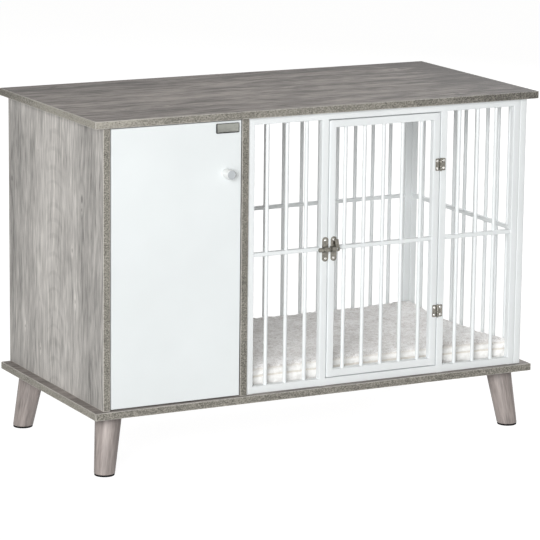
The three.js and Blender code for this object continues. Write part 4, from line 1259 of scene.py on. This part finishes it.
class DriveScrews(TableOperator, bpy.types.Operator):
    """Put a cross-head screw in every hole of the hinges and the latch"""

    bl_idname = "crate_table.drive_screws"
    bl_label = "Drive Screws"

    def execute(self, context):
        hardware = settings().hardware
        tree = screw_tree()
        bright = metal_finish("bright_screws", settings().paint.zinc_tone, 0.25)
        sizes = (hardware.screw_radius, hardware.screw_height, hardware.recess_width, hardware.recess_depth)
        values = dict(zip(SCREW_SIZES, sizes)) | {"Material": bright}
        for body, places in self.places().items():
            points = bpy.data.meshes.new(body + "_screw_points")
            points.from_pydata([place for place, _ in places], [], [])
            facing = points.attributes.new("facing", "FLOAT_VECTOR", "POINT")
            facing.data.foreach_set("vector", [part for _, way in places for part in way])
            mesh = grown(tree, points, values)
            smooth_between(mesh, 32)
            new_piece(body + "_screws", mesh, body)
        return {"FINISHED"}

    @staticmethod
    def places():
        """The face point and outward direction of every screw, by body."""
        found = {}
        forward, backward, rightward = (0.0, -1.0, 0.0), (0.0, 1.0, 0.0), (1.0, 0.0, 0.0)

        def add(node, x, y, reach, way):
            middle = middle_of(node)[2]
            for step in (-reach, reach):
                found.setdefault(body_of(node), []).append(((x, y, middle + step), way))

        for level in LEVELS:
            leaf = level + "_hinge_frame_leaf"
            _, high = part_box(leaf)
            face = high[1] - SHEET
            add(leaf, high[0] - LEAF_HOLE_INSET, face, LEAF_HOLES, forward)
            leaf = level + "_hinge_door_leaf"
            add(leaf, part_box(leaf)[0][0] + LEAF_HOLE_INSET, face, LEAF_HOLES, forward)
            cup = level + "_hinge_cup"
            add(cup, middle_of(cup)[0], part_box(cup)[1][1], CUP_HOLES, backward)
            plate = level + "_hinge_plate"
            add(plate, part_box(plate)[1][0], middle_of(plate)[1], PLATE_HOLES, rightward)
        _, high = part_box("latch_keeper")
        add("latch_keeper", middle_of("latch_keeper")[0], high[1] - SHEET, LATCH_HOLES, forward)
        _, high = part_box("latch_plate")
        add("latch_plate", high[0] - LATCH_HOLE_INSET, high[1] - SHEET, LATCH_HOLES, forward)
        return found


# Raised rim of the door's plate, and the field sunk inside it
RIM_WIDTH = 1.6 * MM
FIELD_INSET = 2.5 * MM
FIELD_DEPTH = 0.5 * MM


class FixPlate(TableOperator, bpy.types.Operator):
    """Fix the bare metal plate to the top corner of the cabinet door"""

    bl_idname = "crate_table.fix_plate"
    bl_label = "Fix Plate"

    def execute(self, context):
        hardware = settings().hardware
        low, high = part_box("cabinet_door")
        width, height, corner = hardware.plate_width, hardware.plate_height, hardware.plate_corner
        outline = self.outline(width, height, corner)
        rim = self.outline(width - 2 * RIM_WIDTH, height - 2 * RIM_WIDTH, corner)
        field = self.outline(width - 2 * FIELD_INSET, height - 2 * FIELD_INSET, corner)
        thickness = hardware.plate_thickness
        rings = [(outline, 0.0), (outline, thickness), (rim, thickness), (field, thickness - FIELD_DEPTH)]
        shape = bmesh.new()
        loops = [[shape.verts.new((x, -out, z)) for x, z in ring] for ring, out in rings]
        for inner, outer in zip(loops, loops[1:]):
            for index in range(len(inner)):
                after = (index + 1) % len(inner)
                shape.faces.new((inner[index], inner[after], outer[after], outer[index]))
        shape.faces.new(loops[0])
        shape.faces.new(loops[-1])
        bmesh.ops.recalc_face_normals(shape, faces=shape.faces)
        mesh = mesh_from(shape, "door_plate")
        right = high[0] - hardware.plate_from_side
        top = high[2] - hardware.plate_from_top
        mesh.transform(Matrix.Translation((right - width / 2, low[1], top - height / 2)))
        mesh = softened(mesh, 0.3 * MM)
        smooth_between(mesh, 35)
        points = rows(mesh.vertices, "co")
        finish = plate_finish(points.min(axis=0), points.max(axis=0))
        new_piece("door_plate", mesh, body_of("cabinet_door"), finish)
        return {"FINISHED"}

    @staticmethod
    def outline(width, height, corner):
        """Points of a rectangle with round corners about the origin."""
        points = []
        for turn, (side, end) in enumerate(((1, 1), (-1, 1), (-1, -1), (1, -1))):
            x = side * (width / 2 - corner)
            z = end * (height / 2 - corner)
            points += quarter(x, z, corner, 90 * turn, 90 * turn + 90)
        return points


# Steps of the cloth simulation in a frame, and its frames
CLOTH_QUALITY = 6
CLOTH_FRAMES = 20
# Keeps a point that doesn't move from being divided by zero
TINY = 1e-9
# How far from the sides a seam draws points in, the gap to the board, and the height that has no pile
SEAM_REACH = 20 * MM
BOARD_CLEARANCE = 0.2 * MM
FLAT_BELOW = 1.0 * MM
# Sizes of the pile's curls, tufts and swells
CURL_SIZE = 6.5 * MM
TUFT_SIZE = 17 * MM
SWELL_SIZE = 75 * MM


class StuffCushion(TableOperator, bpy.types.Operator):
    """Fill the plush mat with a cloth simulation, then draw in its seams and raise its pile"""

    bl_idname = "crate_table.stuff_cushion"
    bl_label = "Stuff Cushion"

    def execute(self, context):
        look = settings().cushion
        low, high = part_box("cushion")
        floor = low[2]
        start = self.starting_shape(look)
        mesh = self.filled(start, look)
        mesh = self.subdivided(mesh)
        points = rows(mesh.vertices, "co")
        self.pull_corners(points, low, high, look)
        self.draw_seams(points, low, high, look)
        mesh.vertices.foreach_set("co", points.ravel())
        self.raise_pile(mesh, floor, look)
        smooth_between(mesh, 180)
        finish = plush_finish(floor + look.top_seam, floor + look.mid_seam)
        piece = new_piece("plush_cushion", mesh, body_of("cushion"), finish)
        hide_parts("cushion")
        return {"FINISHED"}

    @staticmethod
    def starting_shape(look):
        """The cushion's solid, a little smaller, in even faces."""
        mesh = merged_copy("cushion")
        shape = bmesh.new()
        shape.from_mesh(mesh)
        bmesh.ops.triangulate(shape, faces=shape.faces)
        shape.normal_update()
        for vertex in shape.verts:
            vertex.co -= vertex.normal * look.start_inset
        shape.to_mesh(mesh)
        shape.free()
        holder = linked("cushion_start", mesh)
        remesh = holder.modifiers.new("even", "REMESH")
        remesh.mode = "VOXEL"
        remesh.voxel_size = look.voxel
        even = holder.modifiers.new("calm", "SMOOTH")
        even.iterations = 2
        return applied(holder)

    @staticmethod
    def filled(mesh, look):
        """The mesh after its filling has pressed it out, no point moving farther than it may."""
        scene = bpy.context.scene
        before = rows(mesh.vertices, "co")
        holder = linked("cushion_cloth", mesh.copy())
        cloth = holder.modifiers.new("filling", "CLOTH")
        cloth.settings.use_pressure = True
        cloth.settings.uniform_pressure_force = look.pressure
        cloth.settings.effector_weights.gravity = 0.0
        cloth.settings.quality = CLOTH_QUALITY
        cloth.settings.shrink_min = -look.growth
        cloth.collision_settings.use_collision = False
        for step in range(1, CLOTH_FRAMES + 1):
            scene.frame_set(step)
            bpy.context.view_layer.update()
        filled = applied(holder)
        scene.frame_set(1)
        normals = rows(mesh.vertex_normals, "vector")
        move = rows(filled.vertices, "co") - before
        inward = np.minimum(np.sum(move * normals, axis=1, keepdims=True), 0.0)
        move -= normals * inward * look.stiffness
        far = np.linalg.norm(move, axis=1, keepdims=True)
        move *= np.minimum(1.0, look.most_move / np.maximum(far, TINY))
        above = before[:, 2:] - before[:, 2].min()
        move *= np.clip(above / look.held_height, 0.0, 1.0)
        filled.vertices.foreach_set("co", (before + move).ravel())
        return filled

    @staticmethod
    def subdivided(mesh):
        """The mesh with every face split once and rounded."""
        holder = linked("cushion_fine", mesh)
        finer = holder.modifiers.new("finer", "SUBSURF")
        finer.levels = 1
        finer.render_levels = 1
        return applied(holder)

    @staticmethod
    def pull_corners(points, low, high, look):
        """Pulls the four corners out, and a little up, to where the seams meet."""
        near = np.ones(len(points))
        for axis in (0, 1):
            from_side = np.minimum(points[:, axis] - low[axis], high[axis] - points[:, axis])
            near *= np.clip(1.0 - from_side / look.corner_reach, 0.0, 1.0)
        pull = near * near * (3.0 - 2.0 * near) * look.corner_pull
        for axis in (0, 1):
            points[:, axis] += pull * np.sign(points[:, axis] - (low[axis] + high[axis]) / 2)
        height = np.clip((points[:, 2] - low[2]) / (high[2] - low[2]), 0.0, 1.0)
        points[:, 2] += pull * height * look.corner_lift

    @staticmethod
    def draw_seams(points, low, high, look):
        """Draws both seams in, keeps the mat inside its space and lays it flat on the board."""
        middle = [(low[axis] + high[axis]) / 2 for axis in (0, 1)]
        half = [(high[axis] - low[axis]) / 2 for axis in (0, 1)]
        from_side = [half[axis] - np.abs(points[:, axis] - middle[axis]) for axis in (0, 1)]
        for seam in (look.mid_seam, look.top_seam):
            near = np.exp(-((points[:, 2] - low[2] - seam) / look.seam_width) ** 2)
            for axis in (0, 1):
                beside = np.exp(-(np.maximum(from_side[axis], 0.0) / SEAM_REACH) ** 2)
                points[:, axis] -= np.sign(points[:, axis] - middle[axis]) * look.seam_depth * near * beside
        for axis in (0, 1):
            np.clip(points[:, axis], low[axis], high[axis], out=points[:, axis])
        np.clip(points[:, 2], low[2] + BOARD_CLEARANCE, high[2], out=points[:, 2])

    @staticmethod
    def raise_pile(mesh, floor, look):
        """Moves every point a little along its normal, in curls and in softer tufts."""
        for vertex, normal in zip(mesh.vertices, rows(mesh.vertex_normals, "vector")):
            if vertex.co.z < floor + FLAT_BELOW:
                continue
            curl = noise.noise(vertex.co / CURL_SIZE)
            tuft = noise.noise(vertex.co / TUFT_SIZE)
            swell = noise.noise(vertex.co / SWELL_SIZE)
            height = look.pile_depth * (curl + 0.8 * tuft + 1.6 * swell) - 0.5 * look.pile_depth
            vertex.co += Vector(normal) * height


class CratePanel(bpy.types.Panel):
    """The table's operators and settings"""

    bl_idname = "VIEW3D_PT_crate_table"
    bl_label = "Crate Table"
    bl_space_type = "VIEW_3D"
    bl_region_type = "UI"
    bl_category = "Crate Table"

    def draw(self, context):
        column = self.layout.column(align=True)
        for operator in OPERATORS:
            column.operator(operator.bl_idname)
        for group in ("laminate", "paint", "cage", "cushion", "hardware", "studio"):
            box = self.layout.box()
            box.label(text=group.capitalize())
            values = getattr(context.scene.crate_table, group)
            for name in values.bl_rna.properties.keys():
                if name not in ("rna_type", "name"):
                    box.prop(values, name)


GROUPS = (LaminateSettings, PaintSettings, CageSettings, CushionSettings, HardwareSettings, StudioSettings,
          CrateTableSettings)
OPERATORS = (SetStudio, FaceBoards, PaintCabinet, TurnLegs, WeldCage, PolishHardware, DriveScrews, FixPlate,
             StuffCushion)


def register():
    for part in (*GROUPS, *OPERATORS, CratePanel):
        bpy.utils.register_class(part)
    bpy.types.Scene.crate_table = PointerProperty(type=CrateTableSettings)


def unregister():
    del bpy.types.Scene.crate_table
    for part in reversed((*GROUPS, *OPERATORS, CratePanel)):
        bpy.utils.unregister_class(part)


def main():
    register()
    for operator in OPERATORS:
        group, name = operator.bl_idname.split(".")
        getattr(getattr(bpy.ops, group), name)()


if __name__ == "__main__":
    main()
